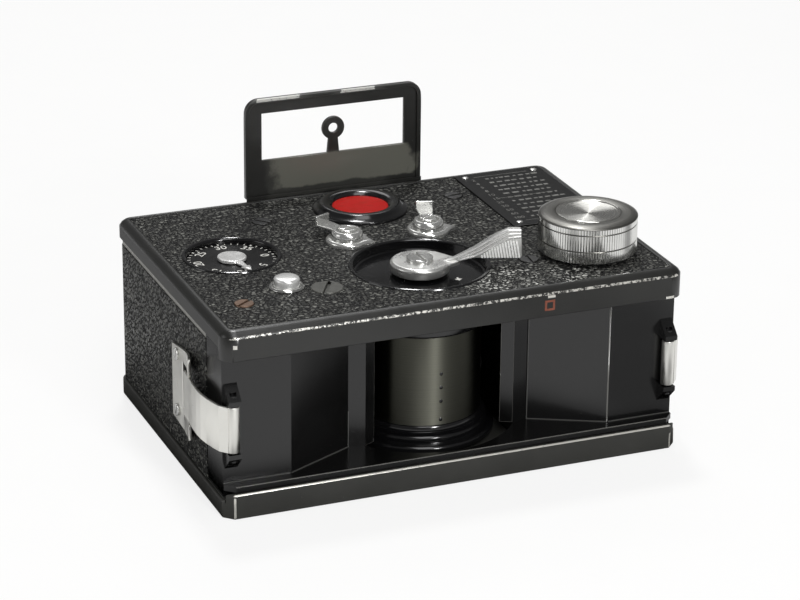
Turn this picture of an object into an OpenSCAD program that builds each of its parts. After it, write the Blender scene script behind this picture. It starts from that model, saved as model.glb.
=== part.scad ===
// Swing-lens panoramic camera, millimetres, +Z up.
// The origin is the mouth of the tripod socket, at the middle of the underside; the front faces -Y.

/* [Body] */
// Width across the base and the top cover
body_w = 162; // [158:1:176]
// Depth of the base and the top cover
body_d = 114; // [113:1:126]
// Height of the top cover's rim above the underside
rim_z = 65; // [64:0.5:70]
// Inset of the body's sides behind the edges of base and cover
side_in = 0.8; // [0.6:0.1:1.4]
// Wall thickness of the rear shell
shell_t = 2; // [1.5:0.1:2.4]
// Thickness of the leather covering
leather_t = 0.6; // [0.4:0.1:0.8]
// Corner radius of the cover and the rear shell
corner_r = 5; // [4.6:0.1:8]
// Depth of the painted strip on each side, ahead of the leather
strip_d = 14.7; // [12:0.1:16]
// Bare band of the rear shell above the leather
band_h = 2.2; // [1:0.1:4]

/* [Base] */
// Height of the base's sides
base_h = 6; // [5:0.5:7]
// Step up to the floor that locates the rear shell
base_step = 0.4; // [0.2:0.1:0.8]
// Height of the front lip above the base's sides
lip_h = 2.6; // [1:0.1:4]
// Thickness of the front lip
lip_t = 2.2; // [1.5:0.1:3]
// Chamfer of the base's front corners
base_chamfer = 3.2; // [1:0.1:4]
// Tapping radius of the tripod socket
tripod_r = 3.97; // [2.5:0.01:4.5]
// Metal left above the tripod socket
tripod_cap = 0.8; // [0.5:0.1:1.5]
// Outer radius of the tripod bush
tripod_bush_r = 6.5; // [5.5:0.1:8]

/* [Top cover] */
// Height of the cover's side wall
cover_h = 6.3; // [5.5:0.1:7]
// Height of the front apron, rim included
apron_h = 10.1; // [9:0.1:11]
// Width of the rim round the leather
rim_w = 3.9; // [3:0.1:4.4]
// Drop from the rim's crest to its outer edge
rim_drop = 2.2; // [1.5:0.1:3.2]
// Height of the rim above the plate that carries the leather
rim_lip = 1; // [0.8:0.1:1.5]
// Thickness of the cover's plate
cover_t = 2.5; // [2:0.1:2.8]
// Seam between the cover and the rear shell
seam = 0.5; // [0.3:0.1:0.8]
// Thickness of the deck above the film chamber
deck_t = 2; // [1.5:0.1:2.5]

/* [Front recess] */
// Inset of the two front panels
panel_in = 5.3; // [4.5:0.1:6]
// Width of each front panel, from the body's side to the recess
vee_side = 24.5; // [21:0.5:30]
// Inset of the posts beside the drum
post_in = 17.4; // [15:0.1:19]
// Width of a post's front face
post_w = 5.6; // [4:0.1:8]
// Distance of a post's inner edge ahead of its outer edge
post_out = 1.3; // [0:0.1:2]
// Wall thickness of the front chassis
wall_t = 2.4; // [2:0.1:2.8]
// Gap between the drum's lower flange and the posts
recess_gap = 1; // [0.6:0.1:2]
// Thickness of the recess's floor
sill_t = 1.9; // [1.2:0.1:2.4]
// Inset of the recess floor's front edge
sill_in = 1; // [0.6:0.1:1.6]
// Width of the recess floor ahead of the drum
sill_w = 1.4; // [1:0.1:3]
// Groove between the base's lip and the recess's floor
sill_gap = 0.5; // [0.3:0.1:0.8]

/* [Lens drum] */
// Distance of the drum's axis behind the front edge
drum_in = 35.2; // [34.5:0.1:36]
// Outer radius of the drum
drum_r = 21; // [19.5:0.1:22]
// Wall thickness of the drum
drum_t = 1.6; // [1.2:0.1:2]
// Step from the drum out to the upper ring of its lower flange
step_a = 2.2; // [1.5:0.1:2.6]
// Step from the upper ring out to the lower ring
step_b = 2.4; // [1.5:0.1:2.6]
// Height of each ring of the lower flange
step_h = 2.8; // [2:0.1:3.2]
// Height of the upper flange
flange_h = 5.3; // [4:0.1:6]
// Radius of the lens barrel
barrel_r = 8.4; // [7.5:0.1:9]
// Width of the exposing slit
slit_w = 2.4; // [1.5:0.1:3]
// Radius of the drum's lower pivot
pivot_r = 3; // [2.5:0.1:3.5]
// Radius of the drum's upper shaft
shaft_r = 4; // [3.5:0.1:4.5]
// Radius of the curved film path
film_r = 50; // [49:0.5:51]
// Half angle of the picture
frame_half = 63; // [55:1:64]
// Height of the picture
frame_h = 24; // [20:0.5:28]
// Thickness of the curved film gate
gate_t = 1.5; // [1:0.1:1.8]

/* [Cocking lever] */
// Radius of the lever's dish
dish_r = 23.2; // [22:0.1:23.4]
// Depth of the dish's floor below the leather
dish_depth = 3; // [2.5:0.1:3.2]
// Radius of the lever's hub
hub_r = 10; // [8:0.1:12]
// Distance of the finger blade's tip from the body's side, with the blade turned that way
lever_side = 47; // [45:0.5:51]
// Height of the finger blade above its lower edge
blade_h = 10.1; // [8:0.1:12]
// Thickness of the finger blade
blade_t = 2.6; // [2:0.1:4]
// Direction of the lever at rest
lever_dir = -20; // [-30:1:-10]

/* [Winding] */
// Radius of the winding knob
knob_r = 16.7; // [14:0.1:17.5]
// Height of the winding knob
knob_h = 13.2; // [10:0.1:16]
// Gap under the winding knob
knob_gap = 1.4; // [1:0.1:2]
// Distance of the knob's axis from the body's side
knob_side = 23.6; // [22.5:0.1:25]
// Distance of the knob's axis behind the front edge
knob_in = 26.8; // [26:0.1:28]
// Radius of the film cassettes
can_r = 12.6; // [11.5:0.1:13]
// Wall thickness of the film cassettes
can_t = 0.7; // [0.5:0.1:0.9]
// Radius of the spools' cores
core_r = 5; // [4.6:0.1:6]

/* [Fittings on top] */
// Radius of the frame counter's dish
counter_r = 16.2; // [14:0.1:17]
// Distance of the frame counter from the body's side
counter_side = 25.4; // [25:0.1:28]
// Place of the frame counter, front to back
counter_y = 8; // [6:0.1:10]
// Radius of the release button
button_r = 4.3; // [3.5:0.1:5]
// Height of the release button above its collar
button_h = 2.7; // [2.6:0.1:4]
// Travel of the release button
button_travel = 2.5; // [1.5:0.1:2.5]
// Radius of the button's collar
collar_r = 5.9; // [5.6:0.1:7]
// Radius of the plug screw
plug_r = 5.4; // [4.5:0.1:6]
// Radius of the top screws' heads
screw_r = 3.2; // [2.8:0.1:3.6]
// Radius of the spirit level's bezel, as a share of half the body's depth
level_share = 0.2895; // [0.25:0.0005:0.295]
// Radius of the spirit level's window
vial_r = 9.7; // [8:0.1:11]
// Height of the spirit level's bezel
level_h = 2.9; // [2.2:0.1:4]
// Gap between the spirit level's bezel and the back edge
level_back = 5.5; // [5:0.1:8]
// Half distance between the two speed levers
speed_x = 14.8; // [14.4:0.1:16]
// Radius of a speed lever's base plate
speed_r = 7.4; // [6.5:0.1:7.8]
// Distance of a speed lever's tab from its axis
tab_x = 12.2; // [11:0.1:13]
// Width of the speed table plate
table_w = 33; // [28:0.5:33]
// Length of the speed table plate
table_d = 54; // [44:0.5:55]

/* [Finder] */
// Width of the finder frame
finder_w = 66; // [60:0.5:70]
// Height of the finder frame's top above the underside
finder_z = 100.8; // [96:0.2:106]
// Thickness of the finder frame's sheet
finder_t = 1.2; // [1:0.1:1.5]
// Width of the finder's window
window_w = 53.4; // [46:0.2:56]
// Height of the finder's window
window_h = 17.2; // [14:0.2:20]
// Frame left above the window
window_in = 5.6; // [4:0.1:8]
// Outer radius of the ring sight
sight_r = 4.2; // [3.5:0.1:5]
// Radius of the finder's hinge pin
finder_pin_r = 1; // [0.8:0.05:1.1]

/* [Latches] */
// Height of a latch strip
latch_h = 16; // [12:0.2:17]
// Height of a latch strip's middle above the underside
latch_z = 31; // [29:0.2:33]
// Thickness of a latch strip
latch_t = 1; // [0.8:0.05:1.1]
// Radius of a latch's hinge pin
latch_pin_r = 1.1; // [0.9:0.05:1.2]

/* [Fits] */
// Radial clearance of running shafts
run_clear = 0.05; // [0.03:0.01:0.08]
// Clearance of seated pieces
fit_clear = 0.04; // [0.02:0.01:0.1]
// Clearance of pieces that slide or swing past one another
pass_clear = 0.4; // [0.3:0.05:0.5]

/* [Hidden] */
$fn = 64;
e = 0.01;
hx = body_w / 2;
hy = body_d / 2;
floor_z = base_h + base_step;
cover_z = rim_z - cover_h;
edge_z = rim_z - rim_drop;
apron_z = rim_z - apron_h;
deck_z = apron_z - deck_t;
plate_z = rim_z - rim_lip;
skin_z = plate_z + leather_t;
under_z = plate_z - cover_t;
shell_z = cover_z - seam;
face_x = hx - side_in;
shell_x = face_x - leather_t;
in_x = shell_x - shell_t;
back_y = hy - side_in - leather_t;
in_y = back_y - shell_t;
panel_y = panel_in - hy;
strip_x = face_x - 0.2;
strip_y = panel_y + strip_d;
drum_y = drum_in - hy;
ring_r = drum_r + step_a;
flange_r = ring_r + step_b;
post_x = flange_r + recess_gap;
post_y = post_in - hy;
sill_z = base_h + lip_h + sill_gap;
sill_y = sill_in - hy;
sill_r = drum_in - sill_in - sill_w;
lens_z = (floor_z + deck_z) / 2;
film_gap = 0.4;
slide_clear = 0.1;
face_r = corner_r - side_in;
inner_cut = face_r - leather_t - shell_t;
band_out = leather_t - 0.2;
gate_r1 = film_r - film_gap / 2;
gate_r0 = gate_r1 - gate_t;
gate_half = frame_half + 3;
gate_end = [gate_r0 * sin(gate_half), drum_y + gate_r0 * cos(gate_half)];
pad_r0 = film_r + film_gap / 2 + 0.1;
pad_t = 1;
pad_half = frame_half - 5;
neck_y = drum_y + 6;
vee_x = hx - vee_side;
vee_path = [[vee_x, panel_y], [post_x + post_w, post_y], [post_x, post_y - post_out],
    [post_x, neck_y], gate_end];
drum_lo = floor_z + pass_clear;
tube_lo = drum_lo + 2 * step_h;
drum_hi = deck_z - pass_clear;
tube_hi = drum_hi - flange_h;
spigot_h = 2;
dish_z = skin_z - dish_depth;
dish_t = 1;
lip_up = 0.5;
dish_lip = 0.6;
dish_wall = 1;
lever_len = hx - lever_side;
lever_z = dish_z + 1;
hub_top = skin_z + 1.8;
blade_z = skin_z + 2.8;
lever_screw_r = 1.5;
lever_head_r = 4.5;
lever_head_h = 1.2;
knob_x = hx - knob_side;
wind_y = knob_in - hy;
knob_z = skin_z + knob_gap;
bush_h = knob_gap - pass_clear;
spool_lo = floor_z + can_t + 0.5;
spool_hi = deck_z - can_t - 0.9;
can_lo = floor_z;
can_hi = deck_z - 0.4;
foot_r = 3;
foot_d = 3.4;
spool_flange_r = can_r - can_t - pass_clear;
counter_x = counter_side - hx;
button_x = 32.9 - hx;
button_y = 32.1 - hy;
plug_x = 44.9 - hx;
plug_y = 26.6 - hy;
plug_h = 1.6;
top_screw_at = [[15 - hx, 23 - hy], [hx - 45, knob_in - hy], [45.5 - hx, hy - 22.2], [hx - 44.5, hy - 21.2]];
top_shank_r = 1.4;
head_h = 1;
pillar_r = 4;
level_r = hy * level_share;
level_x = 1;
level_y = hy - level_back - level_r;
speed_y = drum_y + 28.4;
speed_plate_t = 1.7;
speed_shaft_r = 2.4;
speed_hub_r = 5.3;
speed_hub_h = 2.7;
speed_cap_r = 2.8;
speed_groove = 0.8;
tab_h = 3.6;
table_t = 0.6;
table_x0 = hx - rim_w - 0.2 - table_w;
table_y1 = hy - rim_w - 0.2;
rivet_in = 3.2;
rivet_r = 1.2;
boss_x = hx - 13;
boss_y = panel_y + 7.2;
boss_r = 4;
boss_h = 10;
leg_x = hx - 19;
leg_y = in_y - 14;
base_screw_at = [[boss_x, boss_y], [-boss_x, boss_y], [leg_x, leg_y], [-leg_x, leg_y]];
base_shank_r = 1.5;
base_head_r = 3;
base_head_h = 1.8;
base_shank_len = 12;
sprocket_r = 4;
wall_end = mitre(vee_path, len(vee_path) - 1, wall_t);
can_at = [knob_x, wind_y];
sprocket_at = wall_end + unit(can_at - wall_end) * (norm(can_at - wall_end) - can_r) / 2;
sprocket_x = -sprocket_at[0];
sprocket_y = sprocket_at[1];
sprocket_shaft_r = 1.8;
tripod_len = floor_z - tripod_cap;
apron_t = panel_in - fit_clear;
finder_sheet_y = hy + 1.6;
hinge_y = finder_sheet_y + finder_t;
knuckle_r = finder_pin_r + 0.8;
hinge_z = edge_z - 0.4;
hinge_t = 0.7;
guard_t = 0.4;
guard_z = skin_z + 0.7;
hinge_half = 30;
knuckle_len = 6;
window_z1 = finder_z - window_in;
window_z0 = window_z1 - window_h;
sight_z = (window_z0 + window_z1) / 2 + 0.4;
latch_lo = latch_z - latch_h / 2;
latch_hi = latch_z + latch_h / 2;
loop_r = latch_pin_r + run_clear + latch_t;
latch_x = strip_x - 2.9;
latch_y = panel_y - loop_r - 0.5;
lug_h = 4;
catch_t = 1;
catch_y = [hy - 72.5, hy - 61.5];
catch_screw_y = (catch_y[0] + catch_y[1]) / 2;
catch_screw_z = [latch_z - 11, latch_z + 9];
catch_head_r = 2.1;
catch_head_h = 0.7;
catch_shank_r = 1.1;

black = "#1d1e1f";
paint = "#3f403d";
hide = "#151516";
chrome = "#d9dad8";
brass = "#b59a5a";
steel = "#9a9c9c";

function unit(v) = v / norm(v);
function side(a, b) = let (d = unit(b - a)) [d[1], -d[0]];
function mitre(p, i, t) = i == 0 ? p[0] + t * side(p[0], p[1])
    : i == len(p) - 1 ? p[i] + t * side(p[i - 1], p[i])
    : let (n = side(p[i - 1], p[i]), m = unit(n + side(p[i], p[i + 1]))) p[i] + m * t / (m * n);
// Outline of a wall of thickness t to the right of a path
function band(p, t) = concat(p, [for (i = [len(p) - 1:-1:0]) mitre(p, i, t)]);

module both() {
    children();
    mirror([1, 0, 0]) children();
}

module rounded(w, d, r) {
    square([w - 2 * r, d], center = true);
    square([w, d - 2 * r], center = true);
    for (x = [-1, 1], y = [-1, 1]) translate([x * (w / 2 - r), y * (d / 2 - r)]) circle(r);
}

// Slotted screw head with its shank below z = 0
module slotted(r, h, shank_r, shank_len, slot = 0.9) {
    difference() {
        cylinder(r = r, h = h);
        translate([-r - 1, -slot / 2, h * 0.45]) cube([2 * r + 2, slot, h]);
    }
    translate([0, 0, -shank_len]) cylinder(r = shank_r, h = shank_len + h * 0.3);
}

module base_outline() {
    polygon([[-hx, base_chamfer - hy], [base_chamfer - hx, -hy], [hx - base_chamfer, -hy],
        [hx, base_chamfer - hy], [hx, hy - corner_r], [hx - corner_r, hy], [corner_r - hx, hy],
        [-hx, hy - corner_r]]);
    both() translate([hx - corner_r, hy - corner_r]) circle(corner_r);
}

// Plate between x and -x with its rear corners cut to clear the rear shell's rounded corners
module cut_plate(x, y0, y1, z, t) {
    translate([0, 0, z]) linear_extrude(t) polygon([[-x, y0], [x, y0], [x, y1 - inner_cut],
        [x - inner_cut, y1], [inner_cut - x, y1], [-x, y1 - inner_cut]]);
}

module base_plate() {
    color(black) difference() {
        union() {
            linear_extrude(base_h) base_outline();
            intersection() {
                linear_extrude(base_h + lip_h) base_outline();
                translate([-hx, -hy, 0]) cube([body_w, lip_t, base_h + lip_h]);
            }
            translate([-strip_x, lip_t - hy - e, base_h - e])
                cube([2 * strip_x, strip_y + hy - lip_t + e, base_step + e]);
            cut_plate(in_x - pass_clear / 2, strip_y - e, in_y - pass_clear, base_h - e, base_step + e);
        }
        translate([-hx - 1, lip_t - hy, floor_z - 1]) cube([body_w + 2, 1, 3]);
        translate([0, 0, -1]) cylinder(r = tripod_bush_r + fit_clear, h = floor_z + 2);
        translate([0, drum_y, 1.5]) cylinder(r = pivot_r + 2 + fit_clear, h = floor_z);
        both() translate([knob_x, wind_y, floor_z - foot_d]) cylinder(r = foot_r + run_clear, h = foot_d + 1);
        translate([sprocket_x, sprocket_y, floor_z - foot_d])
            cylinder(r = sprocket_shaft_r + run_clear, h = foot_d + 1);
        for (p = base_screw_at) translate([p[0], p[1], -1]) {
            cylinder(r = base_shank_r + fit_clear, h = floor_z + 2);
            cylinder(r = base_head_r + fit_clear, h = base_head_h + 1.3);
        }
    }
}

module tripod_bush() {
    color(steel) difference() {
        cylinder(r = tripod_bush_r, h = floor_z);
        translate([0, 0, -1]) cylinder(r = tripod_r, h = tripod_len + 1);
    }
}

module base_screws() {
    color(steel) for (p = base_screw_at) translate([p[0], p[1], base_head_h + 0.3]) mirror([0, 0, 1])
        slotted(base_head_r, base_head_h, base_shank_r, base_shank_len);
}

module panel_outline() {
    polygon([[vee_x, panel_y], [strip_x, panel_y], [strip_x, strip_y], [strip_x - wall_t, strip_y],
        [strip_x - wall_t, panel_y + wall_t], [vee_x, panel_y + wall_t]]);
}

// Black lug that carries one end of a latch's pin; up is +1 above the strip and -1 below it
module latch_lug(up) {
    z0 = up > 0 ? latch_hi + pass_clear : latch_lo - pass_clear;
    translate([latch_x - loop_r, 0, z0]) rotate([90, 0, 90]) linear_extrude(2 * loop_r)
        polygon([[panel_y + e, 0], [latch_y - loop_r, 0], [latch_y - loop_r, up * lug_h * 0.4],
            [panel_y + e, up * lug_h * 1.6]]);
}

// Floor of the recess and ledge below the panels, open in a circle round the drum
module sill() {
    bite = wall_t / 2;
    difference() {
        translate([0, 0, sill_z]) linear_extrude(sill_t) both() polygon([[-e, sill_y],
            [strip_x - base_chamfer, sill_y], [strip_x, sill_y + base_chamfer], [strip_x, panel_y + bite],
            [vee_x, panel_y + bite], mitre(vee_path, 1, bite), mitre(vee_path, 2, bite), [-e, post_y]]);
        translate([0, drum_y, sill_z - 1]) cylinder(r = sill_r, h = sill_t + 2);
    }
}

module front_chassis() {
    color(paint) difference() {
        union() {
            sill();
            translate([-vee_x - e, panel_y, apron_z]) cube([2 * vee_x + 2 * e, wall_t, shell_z - apron_z]);
            both() {
                translate([0, 0, floor_z]) linear_extrude(deck_z - floor_z) polygon(band(vee_path, wall_t));
                translate([0, 0, floor_z]) linear_extrude(shell_z - floor_z) panel_outline();
                latch_lug(1);
                latch_lug(-1);
                translate([boss_x, boss_y, floor_z]) cylinder(r = boss_r, h = boss_h);
                translate([boss_x - 1.5, panel_y + wall_t - e, floor_z])
                    cube([3, boss_y - panel_y - wall_t - base_shank_r - 0.5, boss_h]);
            }
        }
        both() translate([latch_x, latch_y, latch_lo - pass_clear - lug_h])
            cylinder(r = latch_pin_r + fit_clear, h = latch_h + 2 * pass_clear + 2 * lug_h);
        both() translate([boss_x, boss_y, floor_z - 1]) cylinder(r = base_shank_r + fit_clear, h = boss_h);
    }
}

module top_deck() {
    color(black) difference() {
        union() {
            cut_plate(in_x - pass_clear, panel_y + wall_t + fit_clear, in_y - pass_clear, deck_z, deck_t);
            translate([fit_clear - vee_x, apron_t - hy + fit_clear, deck_z])
                cube([2 * (vee_x - fit_clear), panel_y + wall_t + hy - apron_t + 1, deck_t]);
            for (p = top_screw_at) translate([p[0], p[1], deck_z])
                cylinder(r = pillar_r, h = under_z - deck_z);
            both() translate([leg_x, leg_y, floor_z]) cylinder(r = pillar_r, h = deck_z - floor_z + 1);
        }
        translate([0, drum_y, deck_z - 1]) cylinder(r = shaft_r + 3 + fit_clear, h = deck_t + 2);
        translate([knob_x, wind_y, deck_z - 1]) cylinder(r = shaft_r + pass_clear, h = deck_t + 2);
        translate([-knob_x, wind_y, deck_z - 1]) cylinder(r = foot_r + run_clear, h = deck_t + 2);
        translate([sprocket_x, sprocket_y, deck_z - 1])
            cylinder(r = sprocket_shaft_r + run_clear, h = deck_t + 2);
        translate([button_x, button_y, deck_z - 1]) cylinder(r = 1.8 + pass_clear, h = deck_t + 2);
        for (p = top_screw_at) translate([p[0], p[1], deck_z - 1])
            cylinder(r = top_shank_r + fit_clear, h = under_z - deck_z + 2);
        both() translate([leg_x, leg_y, floor_z - 1])
            cylinder(r = base_shank_r + fit_clear, h = base_shank_len);
    }
}

module sector(r0, r1, z0, z1, half) {
    translate([0, drum_y, 0]) rotate([0, 0, 90 - half]) rotate_extrude(angle = 2 * half)
        translate([r0, z0]) square([r1 - r0, z1 - z0]);
}

module film_gate() {
    color(hide) difference() {
        sector(gate_r0, gate_r1, floor_z, deck_z, gate_half);
        sector(gate_r0 - 1, gate_r1 + 1, lens_z - frame_h / 2, lens_z + frame_h / 2, frame_half);
    }
}

// Wall round both sides and the back: outer face at x1 and y1, thickness t, outer corner radius r
module u_wall(x1, y1, t, r, z0, z1) {
    y0 = strip_y + slide_clear;
    both() translate([x1 - t, y0, z0]) cube([t, y1 - r - y0, z1 - z0]);
    translate([r - x1, y1 - t, z0]) cube([2 * (x1 - r), t, z1 - z0]);
    both() translate([x1 - r, y1 - r, 0]) rotate_extrude(angle = 90) translate([r - t, z0])
        square([t, z1 - z0]);
}

shelf_y = drum_y + pad_r0 + pad_t + 1.6;
shelf_half = 16;

module rear_shell() {
    color(black) difference() {
        union() {
            u_wall(shell_x, back_y, shell_t, face_r - leather_t, base_h + slide_clear, shell_z);
            u_wall(shell_x + band_out, back_y + band_out, shell_t, face_r - leather_t + band_out,
                shell_z - band_h, shell_z);
            translate([-shelf_half, shelf_y, lens_z - 6]) cube([2 * shelf_half, 2, 12]);
            for (x = [-12, 9]) translate([x, shelf_y + 1, lens_z - 6]) cube([3, in_y - shelf_y, 12]);
        }
        both() for (z = catch_screw_z) translate([in_x - 1, catch_screw_y, z]) rotate([0, 90, 0])
            cylinder(r = catch_shank_r + fit_clear, h = shell_t + 3);
    }
}

module body_leather() {
    color(hide) difference() {
        u_wall(face_x, back_y + leather_t, leather_t, face_r, base_h + 2 * slide_clear, shell_z - band_h);
        both() for (z = catch_screw_z) translate([in_x - 1, catch_screw_y, z]) rotate([0, 90, 0])
            cylinder(r = catch_shank_r + fit_clear, h = shell_t + 3);
    }
}

module pressure_plate() {
    color(hide) sector(pad_r0, pad_r0 + pad_t, lens_z - 18, lens_z + 18, pad_half);
}

module pressure_spring() {
    y0 = drum_y + pad_r0 + pad_t + 0.1;
    y1 = shelf_y - 0.45;
    color(steel) translate([0, 0, lens_z - 4]) linear_extrude(8)
        polygon(band([[14, y1], [7, y0 + 0.3 * (y1 - y0)], [0, y0], [-7, y0 + 0.3 * (y1 - y0)],
            [-14, y1]], 0.35));
}

// Section of the cover's edge: u from the outer face inwards, then height
rim_section = concat([[0, cover_z]],
    [for (q = [[0, 0], [0.18, 0.48], [0.41, 0.79], [0.67, 0.957], [0.85, 1]])
        [rim_w * q[0], edge_z + rim_drop * q[1]]],
    [[rim_w, rim_z - 0.3], [rim_w, under_z], [2.5, under_z], [2.5, cover_z]]);

module rim_run(length) {
    linear_extrude(length) polygon(rim_section);
}

module rim() {
    both() translate([-hx, hy - corner_r, 0]) rotate([90, 0, 0]) rim_run(body_d - 2 * corner_r);
    translate([corner_r - hx, -hy, 0]) rotate([90, 0, 90]) rim_run(body_w - 2 * corner_r);
    mirror([0, 1, 0]) translate([corner_r - hx, -hy, 0]) rotate([90, 0, 90]) rim_run(body_w - 2 * corner_r);
    for (x = [0, 1], y = [0, 1]) mirror([x, 0, 0]) mirror([0, y, 0])
        translate([hx - corner_r, hy - corner_r, 0]) rotate_extrude(angle = 90)
            translate([corner_r, 0]) mirror([1, 0]) polygon(rim_section);
}

module top_cover() {
    color(paint) difference() {
        union() {
            rim();
            translate([0, 0, under_z]) linear_extrude(cover_t)
                rounded(body_w - 2 * rim_w + 1, body_d - 2 * rim_w + 1, corner_r - rim_w + 0.5);
            intersection() {
                translate([0, 0, apron_z]) linear_extrude(cover_z + 1 - apron_z)
                    rounded(body_w, body_d, corner_r);
                translate([-hx, -hy, apron_z]) cube([body_w, apron_t, cover_z - apron_z + 0.5]);
            }
        }
        translate([0, drum_y, under_z - 1]) cylinder(r = dish_r + fit_clear, h = cover_t + 2);
        translate([counter_x, counter_y, under_z - 1]) cylinder(r = counter_r + fit_clear, h = cover_t + 2);
        translate([button_x, button_y, under_z - 1]) cylinder(r = button_r + run_clear, h = cover_t + 2);
        translate([plug_x, plug_y, plate_z - plug_h + leather_t])
            cylinder(r = plug_r + fit_clear, h = cover_t);
        translate([knob_x, wind_y, under_z - 1]) cylinder(r = shaft_r + pass_clear, h = cover_t + 2);
        both() translate([speed_x, speed_y, under_z - 1])
            cylinder(r = speed_shaft_r + run_clear, h = cover_t + 2);
        for (p = top_screw_at) translate([p[0], p[1], under_z - 1])
            cylinder(r = top_shank_r + fit_clear, h = cover_t + 2);
    }
}

module top_leather() {
    color(hide) difference() {
        translate([0, 0, plate_z]) linear_extrude(leather_t)
            rounded(body_w - 2 * rim_w - 0.1, body_d - 2 * rim_w - 0.1, corner_r - rim_w + 0.4);
        translate([0, drum_y, plate_z - 1]) cylinder(r = dish_r + fit_clear, h = leather_t + 2);
        translate([counter_x, counter_y, plate_z - 1]) cylinder(r = counter_r + fit_clear, h = leather_t + 2);
        translate([button_x, button_y, plate_z - 1]) cylinder(r = button_r + run_clear, h = leather_t + 2);
        translate([plug_x, plug_y, plate_z - 1]) cylinder(r = plug_r + fit_clear, h = leather_t + 2);
        translate([knob_x, wind_y, plate_z - 1]) cylinder(r = shaft_r + pass_clear, h = leather_t + 2);
        both() translate([speed_x, speed_y, plate_z - 1])
            cylinder(r = speed_shaft_r + run_clear, h = leather_t + 2);
        for (p = top_screw_at) translate([p[0], p[1], plate_z - 1])
            cylinder(r = screw_r + 0.2, h = leather_t + 2);
    }
}

module top_screws() {
    color(steel) for (i = [0:3]) translate([top_screw_at[i][0], top_screw_at[i][1], plate_z])
        rotate([0, 0, 35 + 50 * i]) slotted(screw_r, head_h, top_shank_r, plate_z - under_z + 4);
}

module plug_screw() {
    color(black) translate([plug_x, plug_y, skin_z - plug_h]) rotate([0, 0, 60]) difference() {
        cylinder(r = plug_r, h = plug_h + 0.3);
        translate([-plug_r - 1, -0.6, plug_h - 0.7]) cube([2 * plug_r + 2, 1.2, 2]);
    }
}

// Turned cup set into the cover: floor with a centre hole, wall and a thin raised ring
module cup(r, floor_top, hole_r) {
    z0 = floor_top - dish_t;
    rotate_extrude() polygon([[hole_r, z0], [r, z0], [r, skin_z], [r + dish_lip, skin_z],
        [r + dish_lip * 0.6, skin_z + lip_up], [r - dish_wall * 0.6, skin_z + lip_up],
        [r - dish_wall, skin_z + lip_up * 0.4], [r - dish_wall, floor_top], [hole_r, floor_top]]);
}

module lever_dish() {
    color(black) translate([0, drum_y, 0]) cup(dish_r, dish_z, shaft_r + pass_clear);
}

module counter_dish() {
    color(black) translate([counter_x, counter_y, 0]) cup(counter_r, dish_z, 1.4 + pass_clear);
}

dial_t = 1.6;

module counter_dial() {
    color(black) translate([counter_x, counter_y, dish_z]) difference() {
        cylinder(r = counter_r - dish_wall - 0.1, h = dial_t);
        translate([0, 0, -1]) cylinder(r = 1.4 + run_clear, h = dial_t + 2);
    }
}

module counter_pointer() {
    z0 = dish_z + dial_t + 0.3;
    color(chrome) translate([counter_x, counter_y, z0]) {
        cylinder(r = 4.9, h = 1);
        translate([0, 0, under_z - 3 - z0]) cylinder(r = 1.4, h = z0 - under_z + 3.5);
        rotate([0, 0, -78]) linear_extrude(0.6)
            polygon([[3, -1.6], [9, -0.7], [9, -1.7], [12.6, 0], [9, 1.7], [9, 0.7], [3, 1.6]]);
    }
}

module button_collar() {
    color(chrome) translate([button_x, button_y, skin_z]) difference() {
        cylinder(r = collar_r, h = 0.8);
        translate([0, 0, -1]) cylinder(r = button_r + run_clear, h = 3);
    }
}

button_z0 = skin_z + 0.3;

module release_button() {
    z1 = skin_z + 0.8 + button_h;
    color(chrome) translate([button_x, button_y, 0]) rotate_extrude()
        polygon([[0, apron_z - 0.4 + button_travel],
        [1.8, apron_z - 0.4 + button_travel], [1.8, button_z0], [button_r, button_z0], [button_r, z1 - 0.6],
        [button_r - 0.6, z1], [0, z1 + 0.2]]);
}

module release_spring() {
    color(steel) translate([button_x, button_y, apron_z]) difference() {
        cylinder(r = 3.4, h = button_z0 - apron_z);
        translate([0, 0, -1]) cylinder(r = 2.5, h = button_z0 - apron_z + 2);
    }
}

module level_bezel() {
    ring = level_r - 2;
    color(black) translate([level_x, level_y, skin_z]) rotate_extrude()
        polygon([[vial_r + fit_clear, 0], [level_r, 0], [level_r, 0.8], [level_r - 0.5, 1.2],
            [ring, level_h - 0.9], [ring - 0.5, level_h - 0.2],
        [ring - 1.2, level_h], [vial_r + 2, level_h - 0.2], [vial_r + fit_clear, level_h - 0.9]]);
}

module level_vial() {
    color("#b5171a") translate([level_x, level_y, skin_z]) cylinder(r = vial_r, h = level_h - 1.5);
}

module level_glass() {
    color("#d8e0e0") translate([level_x, level_y, skin_z + level_h - 1.5]) cylinder(r = vial_r, h = 0.5);
}

module speed_plate(dir) {
    tip = speed_r + 2.2;
    a = acos(speed_r / tip);
    difference() {
        rotate([0, 0, dir]) linear_extrude(speed_plate_t) union() {
            circle(speed_r);
            polygon([[0, 0], 0.9 * speed_r * [cos(a), -sin(a)], [tip, 0], 0.9 * speed_r * [cos(a), sin(a)]]);
        }
        translate([0, 0, -1]) cylinder(r = speed_shaft_r + run_clear, h = speed_plate_t + 2);
    }
}

module speed_plate_left() {
    color(chrome) translate([-speed_x, speed_y, skin_z]) speed_plate(-35);
}

module speed_plate_right() {
    color(chrome) translate([speed_x, speed_y, skin_z]) speed_plate(-12);
}

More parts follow.
